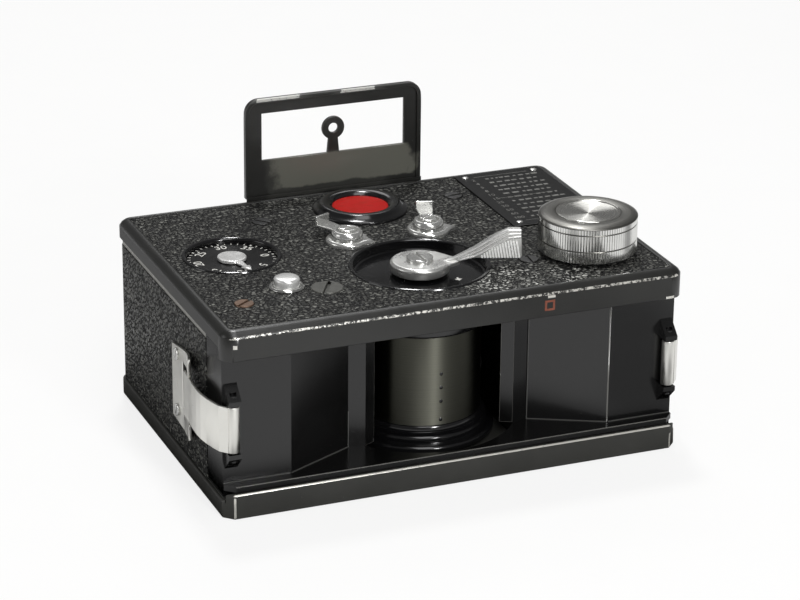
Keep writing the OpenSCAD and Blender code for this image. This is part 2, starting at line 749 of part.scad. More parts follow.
// Boss with a slotted cap in a ring groove, and an arm that ends in an upturned tab
module speed_lever(dir) {
    z0 = skin_z + speed_plate_t + 0.1;
    z1 = z0 + speed_hub_h;
    arm_z = z0 + 1.2;
    color(chrome) difference() {
        union() {
            translate([0, 0, under_z - 2.4]) cylinder(r = speed_shaft_r, h = z0 - under_z + 3);
            rotate_extrude() polygon([[0, z0], [speed_hub_r, z0], [speed_hub_r, z1 - 0.9],
                [speed_hub_r - 0.7, z1], [speed_cap_r + speed_groove, z1],
                [speed_cap_r + speed_groove, z1 - 0.8], [speed_cap_r, z1 - 0.8], [speed_cap_r, z1 + 0.2],
                [speed_cap_r - 0.3, z1 + 0.5], [0, z1 + 0.5]]);
            rotate([0, 0, dir]) {
                translate([0, 0, arm_z]) linear_extrude(0.9)
                    polygon([[4, -2.2], [tab_x + 0.4, -3], [tab_x + 0.4, 3], [4, 2.2]]);
                translate([tab_x - 0.6, -3, arm_z]) cube([1, 6, tab_h]);
            }
        }
        translate([-speed_cap_r - 0.4, -0.5, z1 - 0.2]) cube([2 * speed_cap_r + 0.8, 1, 2]);
    }
}

module speed_lever_left() {
    translate([-speed_x, speed_y, 0]) speed_lever(114);
}

module speed_lever_right() {
    translate([speed_x, speed_y, 0]) speed_lever(74);
}

module speed_table() {
    color(black) difference() {
        translate([table_x0, table_y1 - table_d, skin_z]) cube([table_w, table_d, table_t]);
        rivet_spots() translate([0, 0, skin_z - 1]) cylinder(r = 0.8 + fit_clear, h = table_t + 2);
    }
}

module rivet_spots() {
    for (x = [rivet_in, table_w - rivet_in], y = [rivet_in, table_d - rivet_in])
        translate([table_x0 + x, table_y1 - y, 0]) children();
}

module table_rivets() {
    color(chrome) rivet_spots() {
        translate([0, 0, skin_z]) cylinder(r = 0.8, h = table_t + 0.2);
        translate([0, 0, skin_z + table_t]) cylinder(r = rivet_r, h = 0.5);
    }
}

module drum_tube() {
    color(paint) translate([0, drum_y, 0]) difference() {
        translate([0, 0, tube_lo]) cylinder(r = drum_r, h = tube_hi - tube_lo);
        translate([0, 0, tube_lo - 1]) cylinder(r = drum_r - drum_t, h = tube_hi - tube_lo + 2);
        translate([0, 0, lens_z]) rotate([0, 90, 0]) cylinder(r = barrel_r + fit_clear, h = drum_r + 1);
        translate([-drum_r - 1, -slit_w / 2, lens_z - frame_h / 2 - 1]) cube([drum_r, slit_w, frame_h + 2]);
        for (z = [-12.4, -5.8, -0.9, 4]) translate([0, 0, lens_z + z]) rotate([0, 90, -91.3])
            translate([0, 0, drum_r - 0.5]) cylinder(r = 0.4, h = 2);
    }
}

module drum_base() {
    color(black) translate([0, drum_y, 0]) {
        rotate_extrude() polygon([[0, 2], [pivot_r, 2], [pivot_r, drum_lo], [flange_r - 0.5, drum_lo],
            [flange_r, drum_lo + 0.5], [flange_r, drum_lo + step_h - 0.9],
            [flange_r - 0.3, drum_lo + step_h - 0.3],
            [flange_r - 0.9, drum_lo + step_h], [ring_r, drum_lo + step_h], [ring_r, tube_lo - 0.9],
            [ring_r - 0.3, tube_lo - 0.3], [ring_r - 0.9, tube_lo], [drum_r - drum_t - fit_clear, tube_lo],
            [drum_r - drum_t - fit_clear, tube_lo + spigot_h], [0, tube_lo + spigot_h]]);
        difference() {
            translate([-5, -barrel_r, tube_lo + spigot_h - e])
                cube([10, 2 * barrel_r, lens_z - tube_lo - spigot_h]);
            translate([-6, 0, lens_z]) rotate([0, 90, 0]) cylinder(r = barrel_r + fit_clear, h = 12);
        }
    }
}

module drum_top() {
    color(black) translate([0, drum_y, 0]) difference() {
        rotate_extrude() polygon([[0, tube_hi - spigot_h], [drum_r - drum_t - fit_clear, tube_hi - spigot_h],
            [drum_r - drum_t - fit_clear, tube_hi], [ring_r - 0.9, tube_hi], [ring_r - 0.3, tube_hi + 0.3],
            [ring_r, tube_hi + 0.9], [ring_r, drum_hi], [shaft_r, drum_hi], [shaft_r, lever_z],
            [0, lever_z]]);
        translate([0, 0, lever_z - 8]) cylinder(r = lever_screw_r + fit_clear, h = 9);
    }
}

barrel_bore = barrel_r - 1.2;

module lens_barrel() {
    color(black) translate([0, drum_y, lens_z]) rotate([0, 90, 0]) difference() {
        translate([0, 0, -8]) cylinder(r = barrel_r, h = drum_r + 6.4);
        translate([0, 0, -9]) cylinder(r = barrel_bore, h = drum_r + 9);
    }
}

// Lens element along +X with both faces domed
module element(r, t) {
    rotate([0, 90, 0]) rotate_extrude() polygon(concat([[0, 0], [r, 0.8], [r, t - 0.8]],
        [for (i = [3:-1:0]) [r * i / 4, t - 0.8 * i * i / 16]]));
}

module front_lens() {
    color("#405868") translate([drum_r - 5.4, drum_y, lens_z]) element(barrel_bore - fit_clear, 3.4);
}

module rear_lens() {
    color("#405868") translate([-7, drum_y, lens_z]) element(barrel_bore - fit_clear, 3);
}

module drum_bush_low() {
    color(brass) translate([0, drum_y, 1.5]) difference() {
        cylinder(r = pivot_r + 2, h = floor_z - 1.5);
        translate([0, 0, -1]) cylinder(r = pivot_r + run_clear, h = floor_z + 2);
    }
}

module drum_bush_top() {
    color(brass) translate([0, drum_y, deck_z]) difference() {
        cylinder(r = shaft_r + 3, h = deck_t);
        translate([0, 0, -1]) cylinder(r = shaft_r + run_clear, h = deck_t + 2);
    }
}

module spring_barrel() {
    z1 = dish_z - dish_t - pass_clear;
    color(brass) translate([0, drum_y, 0]) rotate_extrude() polygon([[15, apron_z], [17, apron_z], [17, z1],
        [shaft_r + pass_clear, z1], [shaft_r + pass_clear, z1 - 1], [15, z1 - 1]]);
}

module cocking_lever() {
    rise = blade_z + blade_h;
    tip_u = hub_r + 3.4;
    color(chrome) translate([0, drum_y, 0]) rotate([0, 0, lever_dir]) difference() {
        union() {
            rotate_extrude() polygon([[0, lever_z], [hub_r - 0.6, lever_z], [hub_r, lever_z + 0.6],
                [hub_r, hub_top - 0.8], [hub_r - 0.8, hub_top], [0, hub_top]]);
            translate([0, 0, hub_top - 1.4]) linear_extrude(1.4)
                polygon([[2, -hub_r * 0.85], [hub_r * 0.55, -hub_r * 0.8], [tip_u, -blade_t / 2],
                    [tip_u, blade_t / 2], [hub_r * 0.55, hub_r * 0.8], [2, hub_r * 0.85]]);
            translate([0, blade_t / 2, 0]) rotate([90, 0, 0]) linear_extrude(blade_t)
                polygon([[hub_r - 2, hub_top - 1.2], [hub_r + 2.6, hub_top - 1.2],
                    [tip_u + 0.8, blade_z - 0.5], [hub_r + 8.4, blade_z],
                    [lever_len - 0.5, blade_z], [lever_len, blade_z + 0.5],
                    [lever_len - 0.6, rise], [lever_len - 4.7, rise],
                    [lever_len - 9.8, rise - 0.25 * blade_h], [lever_len - 16, rise - 0.66 * blade_h],
                    [hub_r + 1, hub_top + 0.7], [hub_r - 2, hub_top]]);
        }
        translate([0, 0, lever_z - 1]) cylinder(r = lever_screw_r + fit_clear, h = hub_top - lever_z + 2);
    }
}

module lever_screw() {
    color(chrome) translate([0, drum_y, hub_top]) rotate([0, 0, 92])
        slotted(lever_head_r, lever_head_h, lever_screw_r, hub_top - lever_z + 6, 1.1);
}

knurls = 84;
knurl_d = 0.35;
knurl_in = 0.12;

// Knurled band: points alternate between crest and root
module knurl_band(r, z0, z1) {
    translate([0, 0, z0]) linear_extrude(z1 - z0) polygon([for (i = [0:2 * knurls - 1])
        (r - (i % 2) * knurl_d) * [cos(180 * i / knurls), sin(180 * i / knurls)]]);
}

cap_r = knob_r - 5.7;

module wind_knob() {
    z1 = knob_z + knob_h;
    top_band = knob_h * 0.12;
    groove = 0.45;
    color(chrome) translate([knob_x, wind_y, 0]) difference() {
        union() {
            rotate_extrude() polygon([[0, knob_z], [knob_r - 1, knob_z], [knob_r - 1, z1 - top_band],
                [knob_r, z1 - top_band], [knob_r, z1 - 1], [knob_r - 1, z1], [0, z1]]);
            knurl_band(knob_r - knurl_in, knob_z, knob_z + knob_h * 0.29 - groove);
            knurl_band(knob_r - knurl_in, knob_z + knob_h * 0.29, knob_z + knob_h * 0.66 - groove);
            knurl_band(knob_r - knurl_in, knob_z + knob_h * 0.66, z1 - top_band + e);
        }
        translate([0, 0, z1 - 0.8]) cylinder(r = cap_r + fit_clear, h = 2);
    }
}

module knob_cap() {
    z1 = knob_z + knob_h;
    color(chrome) translate([knob_x, wind_y, 0]) rotate_extrude()
        polygon([[0, z1 - 0.8], [cap_r, z1 - 0.8], [cap_r, z1 - 0.1], [cap_r - 0.4, z1 - 0.1],
            [0, z1 - 0.6]]);
}

module wind_shaft() {
    color(steel) translate([knob_x, wind_y, spool_hi]) cylinder(r = shaft_r, h = knob_z - spool_hi);
}

module wind_bush() {
    color(steel) translate([knob_x, wind_y, skin_z]) difference() {
        cylinder(r = shaft_r + 5, h = bush_h);
        translate([0, 0, -1]) cylinder(r = shaft_r + run_clear, h = bush_h + 2);
    }
}

module spool(top_z) {
    rotate_extrude() polygon([[0, floor_z - foot_d + 0.4], [foot_r, floor_z - foot_d + 0.4],
        [foot_r, spool_lo],
        [spool_flange_r, spool_lo], [spool_flange_r, spool_lo + 1.2], [core_r, spool_lo + 1.2],
        [core_r, spool_hi - 1.2], [spool_flange_r, spool_hi - 1.2], [spool_flange_r, spool_hi],
        [foot_r, spool_hi], [foot_r, top_z], [0, top_z]]);
}

// Cassette with a film mouth that faces the given direction
module cassette(top_hole, dir) {
    color(black) difference() {
        translate([0, 0, can_lo]) cylinder(r = can_r, h = can_hi - can_lo);
        translate([0, 0, can_lo + can_t]) cylinder(r = can_r - can_t, h = can_hi - can_lo - 2 * can_t);
        translate([0, 0, can_lo - 1]) cylinder(r = foot_r + pass_clear, h = 4);
        translate([0, 0, can_hi - 3]) cylinder(r = top_hole + pass_clear, h = 4);
        rotate([0, 0, dir]) translate([0, can_r - 4, lens_z - 18]) cube([can_r + 1, 1.2, 36]);
    }
}

module take_up_spool() {
    color(black) translate([knob_x, wind_y, 0]) spool(spool_hi);
}

module take_up_cassette() {
    translate([knob_x, wind_y, 0]) cassette(shaft_r, 100);
}

module feed_spool() {
    color(black) translate([-knob_x, wind_y, 0]) spool(apron_z - 0.6);
}

module feed_cassette() {
    translate([-knob_x, wind_y, 0]) cassette(foot_r, 40);
}

module sprocket() {
    color(steel) translate([sprocket_x, sprocket_y, 0]) {
        translate([0, 0, floor_z - foot_d + 0.4])
            cylinder(r = sprocket_shaft_r, h = apron_z - 0.6 - floor_z + foot_d - 0.4);
        translate([0, 0, lens_z - 17.5]) cylinder(r = sprocket_r - 0.7, h = 35);
        for (z = [-15.6, 12.8]) translate([0, 0, lens_z + z]) {
            cylinder(r = sprocket_r, h = 2.8);
            for (i = [0:7]) rotate([0, 0, 45 * i]) translate([sprocket_r - 0.5, -0.7, 0.7])
                cube([1.2, 1.4, 1.4]);
        }
    }
}

finder_edge = 1.5;
hinge_gap = 0.3;

module finder_frame() {
    fx = finder_w / 2;
    z0 = hinge_z + knuckle_r + pass_clear;
    color(black) difference() {
        union() {
            translate([0, finder_sheet_y + finder_t, 0]) rotate([90, 0, 0])
                linear_extrude(finder_t) difference() {
                union() {
                    translate([-fx, z0]) square([finder_w, finder_z - z0 - 5]);
                    translate([5 - fx, z0]) square([finder_w - 10, finder_z - z0]);
                    both() translate([fx - 5, finder_z - 5]) circle(5);
                    both() translate([8, hinge_z])
                        square([hinge_half - knuckle_len - hinge_gap - 8, z0 - hinge_z + 1]);
                }
                difference() {
                    translate([-window_w / 2, window_z0]) square([window_w, window_h]);
                    translate([0, sight_z]) circle(sight_r);
                    polygon([[-2.4, window_z0 - 1], [2.4, window_z0 - 1], [1.4, sight_z], [-1.4, sight_z]]);
                }
                translate([0, sight_z]) circle(1.75);
            }
            // folded edges
            both() translate([fx - finder_edge, finder_sheet_y - 0.8, z0])
                cube([finder_edge, finder_t + 0.8, finder_z - z0 - 5]);
            translate([5 - fx, finder_sheet_y - 0.8, finder_z - finder_edge])
                cube([finder_w - 10, finder_t + 0.8, finder_edge]);
            both() translate([fx - 5, finder_sheet_y + finder_t, finder_z - 5]) rotate([90, 0, 0])
                rotate_extrude(angle = 90) translate([5 - finder_edge, 0])
                    square([finder_edge, finder_t + 0.8]);
            both() translate([8, hinge_y, hinge_z]) rotate([0, 90, 0])
                cylinder(r = knuckle_r, h = hinge_half - knuckle_len - hinge_gap - 8);
        }
        both() translate([7, hinge_y, hinge_z]) rotate([0, 90, 0])
            cylinder(r = finder_pin_r + run_clear, h = hinge_half - knuckle_len - 7);
    }
}

module finder_hinge() {
    color(black) difference() {
        union() {
            translate([-hinge_half, hy, cover_z]) cube([2 * hinge_half, hinge_t, edge_z - cover_z]);
            // tall guard behind the rim, which closes the slit below the finder's sheet
            translate([-finder_w / 2, hy, cover_z]) cube([finder_w, guard_t, guard_z - cover_z]);
            both() translate([hinge_half - knuckle_len, hinge_y, hinge_z]) rotate([0, 90, 0])
                cylinder(r = knuckle_r, h = knuckle_len);
            both() translate([hinge_half - knuckle_len, hy, hinge_z - 1])
                cube([knuckle_len, hinge_y - hy, 1.2]);
        }
        both() translate([hinge_half - knuckle_len - 1, hinge_y, hinge_z]) rotate([0, 90, 0])
            cylinder(r = finder_pin_r + fit_clear, h = knuckle_len + 2);
    }
}

module finder_pin() {
    color(steel) translate([-hinge_half, hinge_y, hinge_z]) rotate([0, 90, 0])
        cylinder(r = finder_pin_r, h = 2 * hinge_half);
}

// Path of the right strip's inner face, from the hinge loop round the corner to the free end
strip_path = [[latch_x + loop_r * 0.62, latch_y - loop_r * 0.3], [hx - 0.35, panel_y - 0.6],
    [hx + 0.5, panel_y + 2.2], [hx + 1.4, panel_y + 6], [hx + 2, panel_y + 10], [hx + 2.15, panel_y + 14],
    [hx + 1.9, panel_y + 19], [hx + 1.4, panel_y + 24], [hx + 1, panel_y + 30]];

module latch() {
    color("#d8dad5") difference() {
        union() {
            translate([latch_x, latch_y, latch_lo]) cylinder(r = loop_r, h = latch_h);
            translate([0, 0, latch_lo]) linear_extrude(latch_h) polygon(band(strip_path, latch_t - 0.1));
        }
        translate([latch_x, latch_y, latch_lo - 1]) cylinder(r = latch_pin_r + run_clear, h = latch_h + 2);
    }
}

module latch_left() {
    mirror([1, 0, 0]) latch();
}

module latch_right() {
    latch();
}

module latch_pins() {
    color(steel) both() translate([latch_x, latch_y, latch_lo - pass_clear - lug_h * 0.8])
        cylinder(r = latch_pin_r, h = latch_h + 2 * pass_clear + 1.6 * lug_h);
}

// Right catch: plate on the side wall with an ear curling outwards above and below the strip
catch_path = [[face_x, catch_y[1]], [face_x, catch_y[0] - 1], [face_x + 0.5, catch_y[0] - 6],
    [face_x + 1.5, catch_y[0] - 10], [face_x + 3, catch_y[0] - 15]];

module catch_piece() {
    y0 = catch_y[0];
    y1 = catch_y[1];
    z0 = latch_lo - pass_clear;
    z1 = latch_hi + pass_clear;
    color("#d0d2cd") difference() {
        intersection() {
            linear_extrude(rim_z)
                polygon(band([for (i = [len(catch_path) - 1:-1:0]) catch_path[i]], catch_t));
            translate([face_x - 1, 0, 0]) rotate([90, 0, 90]) linear_extrude(8)
                polygon([[y1, z0 - 6.5], [y1, z1 + 2.6], [y0 - 15, z1 + 6.8], [y0 - 14, z1], [y0, z1],
                    [y0, z0],
                    [y0 - 14, z0], [y0 - 15, z0 - 5], [y0 - 6, z0 - 8]]);
        }
        for (z = catch_screw_z) translate([face_x - 1, catch_screw_y, z]) rotate([0, 90, 0])
            cylinder(r = catch_shank_r + fit_clear, h = 4);
    }
}

module catch_left() {
    mirror([1, 0, 0]) catch_piece();
}

module catch_right() {
    catch_piece();
}

module catch_screws() {
    color(steel) both() for (z = catch_screw_z) translate([face_x + catch_t, catch_screw_y, z])
        rotate([0, 90, 0]) rotate([0, 0, 20])
            slotted(catch_head_r, catch_head_h, catch_shank_r, catch_t + leather_t + shell_t - 0.2, 0.7);
}

base_plate();
tripod_bush();
base_screws();
front_chassis();
top_deck();
film_gate();
rear_shell();
body_leather();
pressure_plate();
pressure_spring();
top_cover();
top_leather();
top_screws();
plug_screw();
lever_dish();
counter_dish();
counter_dial();
counter_pointer();
button_collar();
release_button();
release_spring();
level_bezel();
level_vial();
level_glass();
speed_plate_left();
speed_plate_right();
speed_lever_left();
speed_lever_right();
speed_table();
table_rivets();
drum_tube();
drum_base();
drum_top();
lens_barrel();
front_lens();
rear_lens();
drum_bush_low();
drum_bush_top();
spring_barrel();
cocking_lever();
lever_screw();
wind_knob();
knob_cap();
wind_shaft();
wind_bush();
take_up_spool();
take_up_cassette();
feed_spool();
feed_cassette();
sprocket();
finder_frame();
finder_hinge();
finder_pin();
latch_left();
latch_right();
latch_pins();
catch_left();
catch_right();
catch_screws();
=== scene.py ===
"""Finishes and fine detail for a swing-lens panoramic camera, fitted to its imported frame."""

import math
import random
from functools import partial

import bmesh
import bpy
from bpy.props import FloatProperty, FloatVectorProperty, IntProperty, PointerProperty
from mathutils import Matrix, Vector


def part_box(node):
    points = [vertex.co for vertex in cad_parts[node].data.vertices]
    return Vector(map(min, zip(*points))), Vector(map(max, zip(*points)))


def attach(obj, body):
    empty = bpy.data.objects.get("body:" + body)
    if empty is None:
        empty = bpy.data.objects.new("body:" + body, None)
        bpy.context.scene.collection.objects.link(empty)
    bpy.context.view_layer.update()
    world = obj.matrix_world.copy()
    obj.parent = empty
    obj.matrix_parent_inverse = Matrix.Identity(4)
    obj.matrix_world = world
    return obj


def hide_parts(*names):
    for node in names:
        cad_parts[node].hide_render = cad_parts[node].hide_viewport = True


bl_info = {
    "name": "Panoramic camera",
    "version": (1, 0, 0),
    "blender": (4, 5, 0),
    "location": "View3D > Sidebar > Camera",
    "description": "Dresses the frame of a swing-lens panoramic camera",
    "category": "Object",
}

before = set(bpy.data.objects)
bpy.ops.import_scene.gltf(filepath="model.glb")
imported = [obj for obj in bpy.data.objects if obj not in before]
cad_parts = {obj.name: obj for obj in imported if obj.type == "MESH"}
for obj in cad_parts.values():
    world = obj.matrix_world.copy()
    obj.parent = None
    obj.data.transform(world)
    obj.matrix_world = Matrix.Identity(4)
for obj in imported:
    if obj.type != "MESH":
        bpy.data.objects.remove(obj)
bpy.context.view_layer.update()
MM = 0.001

# The view: focal length on a 36 mm wide picture, degrees of turn, tilt and roll, then the point looked at
# and its distance, in millimetres.
VIEW_LENS = 137.712
VIEW_TURN, VIEW_TILT, VIEW_ROLL = -22.2811, 21.9461, 0.6150
VIEW_AIM, VIEW_DISTANCE = (2.0274, 0, 43.4622), 1043.695

# Soft boxes: name, place and aim in metres, width, height and power.
LAMPS = (
    ("key_softbox", (0.1, 0.44, 1.22), (0, 0, 0.05), 0.16, 0.16, 5.5),
    ("top_softbox", (-0.1, -0.62, 1.05), (0, -0.05, 0.05), 0.5, 1.6, 8.0),
    ("back_softbox", (0.3, 1.0, 1.0), (0, 0, 0.05), 0.7, 0.5, 2.6),
    ("drum_softbox", (0.16, -1.25, 0.5), (0, -0.02, 0.03), 0.16, 0.16, 6.0),
    ("side_softbox", (-1.15, 0.1, 0.5), (-0.02, 0, 0.04), 0.5, 0.5, 1.2))
ROOM_GREY = 0.17
FLOOR_HALF, FLOOR_DROP = 12, 0.15 * MM


def place_of(node):
    """Lowest corner, highest corner and middle of a frame node, in millimetres."""
    low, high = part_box(node)
    return low / MM, high / MM, (low + high) / (2 * MM)


def radius_of(node):
    """Half the width of a round frame node, in millimetres."""
    low, high, _ = place_of(node)
    return (high.x - low.x) / 2


def linear(code):
    """An sRGB hex colour as linear RGBA."""
    parts = [int(code[i:i + 2], 16) / 255 for i in (1, 3, 5)]
    return tuple(c / 12.92 if c <= 0.04045 else ((c + 0.055) / 1.055) ** 2.4 for c in parts) + (1.0,)


def toned(colour, by=1.0):
    """A linear colour made darker or lighter, and opaque."""
    return [min(1, c * by) for c in colour[:3]] + [1]


class CameraSizes(bpy.types.PropertyGroup):
    """Sizes of the fine detail."""

    edge: FloatProperty(name="Edge round", description="Rounding of the painted castings' edges",
                        default=0.45 * MM, min=0.1 * MM, max=0.8 * MM, subtype="DISTANCE", unit="LENGTH")
    thin_edge: FloatProperty(name="Thin edge round", description="Rounding of sheet metal and plated pieces",
                             default=0.22 * MM, min=0.05 * MM, max=0.4 * MM,
                             subtype="DISTANCE", unit="LENGTH")
    pebble: FloatProperty(name="Leather pebble", description="Width of one pebble of the leather's grain",
                          default=1.55 * MM, min=0.5 * MM, max=2 * MM, subtype="DISTANCE", unit="LENGTH")
    knurls: IntProperty(name="Knurls", description="Ridges round the winding knob",
                        default=112, min=40, max=140)
    lathe_steps: IntProperty(name="Lathe steps", description="Facets round a turned piece",
                             default=96, min=32, max=192)


class CameraColours(bpy.types.PropertyGroup):
    """Colours of the finishes."""

    paint: FloatVectorProperty(name="Enamel", description="Black enamel of the cover, shell and finder",
                               default=linear("#1c1c1a"), size=4, subtype="COLOR", min=0, max=1)
    gloss: FloatVectorProperty(name="Gloss black", description="Glossy black of dishes, bezel and flanges",
                               default=linear("#0d0d0e"), size=4, subtype="COLOR", min=0, max=1)
    leather: FloatVectorProperty(name="Leather", description="Grained black covering",
                                 default=linear("#161616"), size=4, subtype="COLOR", min=0, max=1)
    drum: FloatVectorProperty(name="Drum", description="Turned lens drum",
                              default=linear("#68685f"), size=4, subtype="COLOR", min=0, max=1)
    bare: FloatVectorProperty(name="Bare metal", description="Metal where the enamel has worn off",
                              default=linear("#d2d0c9"), size=4, subtype="COLOR", min=0, max=1)
    chrome: FloatVectorProperty(name="Chrome", description="Bright plated fittings",
                                default=linear("#e6e6e3"), size=4, subtype="COLOR", min=0, max=1)
    nickel: FloatVectorProperty(name="Nickel", description="Satin plated latches",
                                default=linear("#efeee8"), size=4, subtype="COLOR", min=0, max=1)
    level: FloatVectorProperty(name="Level red", description="Red floor of the spirit level",
                               default=linear("#c6120e"), size=4, subtype="COLOR", min=0, max=1)
    ink: FloatVectorProperty(name="White ink", description="Filled marks on the dial and in the lever's dish",
                             default=linear("#d9d8d2"), size=4, subtype="COLOR", min=0, max=1)


def sizes():
    return bpy.context.scene.camera_sizes


def colours():
    return bpy.context.scene.camera_colours


# What sets nodes of one kind apart, where that isn't their operation.
CHOICES = {"Attribute": "attribute_name", "MapRange": "interpolation_type", "Mix": "data_type",
           "Tangent": "direction_type", "TexNoise": "noise_dimensions", "TexVoronoi": "feature"}


def feed(node, **sockets):
    """Sets a node's inputs; one given an output, or a node with one in use, is linked. _0 means input 0."""
    for key, value in sockets.items():
        target = node.inputs[int(key[1:]) if key[0] == "_" else key.replace("_", " ")]
        if isinstance(value, bpy.types.Node):
            value = next(out for out in value.outputs if out.enabled)
        if isinstance(value, bpy.types.NodeSocket):
            node.id_data.links.new(value, target)
        else:
            target.default_value = value
    return node


def add(tree, kind, choice=None, **sockets):
    """Adds one shader node with its operation, or what else sets its kind apart, and feeds its inputs."""
    node = tree.nodes.new("ShaderNode" + kind)
    if choice:
        setattr(node, CHOICES.get(kind, "operation"), choice)
    return feed(node, **sockets)


def start(name):
    """A new material: itself, what puts nodes in it, its shader and the object's own coordinates."""
    made = bpy.data.materials.new(name)
    made.use_nodes = True
    made.node_tree.nodes.clear()
    put = partial(add, made.node_tree)
    shader = put("BsdfPrincipled")
    put("OutputMaterial", Surface=shader)
    return made, put, shader, put("TexCoord").outputs["Object"]


def patch(put, place, middle, half):
    """1 inside a box given in millimetres, fading out over its last part."""
    off = put("VectorMath", "SUBTRACT", _0=place, _1=Vector(middle) * MM)
    rel = put("VectorMath", "DIVIDE", _0=off, _1=Vector(half) * MM)
    size = put("VectorMath", "ABSOLUTE", _0=rel)
    axes = put("SeparateXYZ", _0=size).outputs
    flat = put("Math", "MAXIMUM", _0=axes[0], _1=axes[1])
    most = put("Math", "MAXIMUM", _0=flat, _1=axes[2])
    return put("MapRange", Value=most, From_Min=1.0, From_Max=0.55)


def enamel(name, colour, rough, rubbed=(), shine=0.0, bare=None, scuffs=()):
    """Stoved enamel sprayed on cast or pressed metal.

    It gives a near-black satin gloss with a shallow orange peel, specks of dust, and bright bare metal
    in broken lines where edges and the rubbed patches have lost it. Shine is how far whole edges are
    paled toward bare metal: partly wear, partly a painted highlight. Scuffs are larger dull areas.
    """
    made, put, shader, place = start(name)
    cloud = put("TexNoise", Vector=place, Scale=1 / (16 * MM), Detail=3.0)
    peel = put("TexNoise", Vector=place, Scale=1 / (0.6 * MM), Detail=2.0)
    tone = put("Mix", "RGBA", _0=cloud, _6=toned(colour, 0.75), _7=toned(colour, 1.3))
    cells = put("TexVoronoi", Vector=place, Scale=1 / (4.5 * MM))
    speck = put("Math", "LESS_THAN", _0=cells, _1=0.022)
    dust = put("Math", "MULTIPLY", _0=speck, _1=0.35)
    tone = put("Mix", "RGBA", _0=dust, _6=tone, _7=linear("#a9a8a2"))
    blotch = put("TexNoise", Vector=place, Scale=1 / (7 * MM), Detail=5.0, Roughness=0.6)
    for middle, half, code in scuffs:
        area = put("Math", "ADD", _0=patch(put, place, middle, half), _1=blotch)
        area = put("MapRange", Value=area, From_Min=0.92, From_Max=1.12)
        tone = put("Mix", "RGBA", _0=area, _6=tone, _7=linear(code))
    chips = put("TexNoise", Vector=place, Scale=1 / (1.1 * MM), Detail=6.0, Roughness=0.75)
    worn = put("Attribute", "wear").outputs["Fac"]
    for middle, half, amount in rubbed:
        spot = put("Math", "MULTIPLY", _0=patch(put, place, middle, half), _1=amount)
        worn = put("Math", "MAXIMUM", _0=worn, _1=spot)
    depth = put("Math", "MULTIPLY_ADD", _0=worn, _1=0.35, _2=chips)
    depth = put("Math", "MULTIPLY", _0=depth, _1=worn)
    cut = put("MapRange", Value=depth, From_Min=0.72, From_Max=0.78)
    # Shine pales whole edges toward bare metal: partly wear, partly a painted highlight.
    faint = put("Math", "MULTIPLY", _0=worn, _1=shine)
    bare_and_sheen = put("Math", "MAXIMUM", _0=cut, _1=faint)
    tone = put("Mix", "RGBA", _0=bare_and_sheen, _6=tone, _7=bare or tuple(colours().bare))
    gloss = put("MapRange", Value=cloud, To_Min=rough - 0.05, To_Max=rough + 0.08)
    sheen = put("Mix", "FLOAT", _0=bare_and_sheen, _2=gloss, _3=0.3)
    metal = put("Math", "MULTIPLY", _0=cut, _1=0.4)
    bump = put("Bump", Strength=0.12, Distance=0.03 * MM, Height=peel)
    feed(shader, Base_Color=tone, Metallic=metal, Roughness=sheen, Specular_IOR_Level=0.6, Normal=bump)
    return made


def grained_leather(name, colour, pebble, painted_glint_patches=()):
    """Leather cloth pressed between engraved rollers: close pebbles with shiny crowns and dull valleys.

    The near slope of each pebble is painted lighter, a painted highlight that is stronger on some pebbles
    than on their neighbours, and painted glints brighten the patches where light from the chrome falls.
    """
    made, put, shader, place = start(name)
    drift = put("TexNoise", Vector=place, Scale=1 / (2.2 * MM), Detail=2.0)
    pull = put("VectorMath", "SCALE", _0=drift.outputs["Color"], Scale=1.1 * MM)
    bent = put("VectorMath", "ADD", _0=place, _1=pull)
    cells = put("TexVoronoi", "DISTANCE_TO_EDGE", Vector=bent, Scale=1 / pebble)
    lots = put("TexVoronoi", Vector=bent, Scale=1 / pebble)
    draw = put("SeparateColor", Color=lots.outputs["Color"])
    glint = put("MapRange", Value=draw, From_Min=0.1, From_Max=0.95)
    crown = put("MapRange", "SMOOTHSTEP", Value=cells, From_Min=0.02, From_Max=0.3)
    fine = put("TexNoise", Vector=place, Scale=1 / (0.5 * MM), Detail=3.0)
    relief = put("Math", "MULTIPLY_ADD", _0=fine, _1=0.5, _2=crown)
    ahead = put("VectorMath", "ADD", _0=bent, _1=(0.08 * MM, 0.4 * MM, -0.25 * MM))
    next_cells = put("TexVoronoi", "DISTANCE_TO_EDGE", Vector=ahead, Scale=1 / pebble)
    rise = put("Math", "SUBTRACT", _0=next_cells, _1=cells)
    slope = put("MapRange", Value=rise, From_Min=0.03, From_Max=0.2)
    # Painted highlight: worn is how much of each pebble's near slope is painted light, at random per pebble;
    # it is not wear.
    worn = put("Math", "MULTIPLY_ADD", _0=glint, _1=0.8, _2=0.2)
    painted_slope_highlight = put("Math", "MULTIPLY", _0=slope, _1=worn)
    tone = put("Mix", "RGBA", _0=painted_slope_highlight, _6=toned(colour, 0.2), _7=linear("#888882"))
    bright = put("MapRange", Value=draw.outputs[1], From_Min=0.3, From_Max=0.7)
    bright = put("Math", "MULTIPLY", _0=bright, _1=slope)
    # Painted glints where light thrown by the chrome falls on the leather.
    for middle, half in painted_glint_patches:
        spot = put("Math", "MULTIPLY", _0=patch(put, place, middle, half), _1=bright)
        tone = put("Mix", "RGBA", _0=spot, _6=tone, _7=linear("#e2e2dc"))
    handled = put("TexNoise", Vector=place, Scale=1 / (20 * MM), Detail=2.0)
    gloss = put("MapRange", Value=handled, From_Min=0.3, From_Max=0.7, To_Min=0.2, To_Max=0.32)
    dull = put("Mix", "FLOAT", _0=crown, _2=0.75, _3=gloss)
    bump = put("Bump", Strength=1.0, Distance=0.4 * MM, Height=relief)
    feed(shader, Base_Color=tone, Roughness=dull, Normal=bump, Specular_IOR_Level=0.3)
    return made


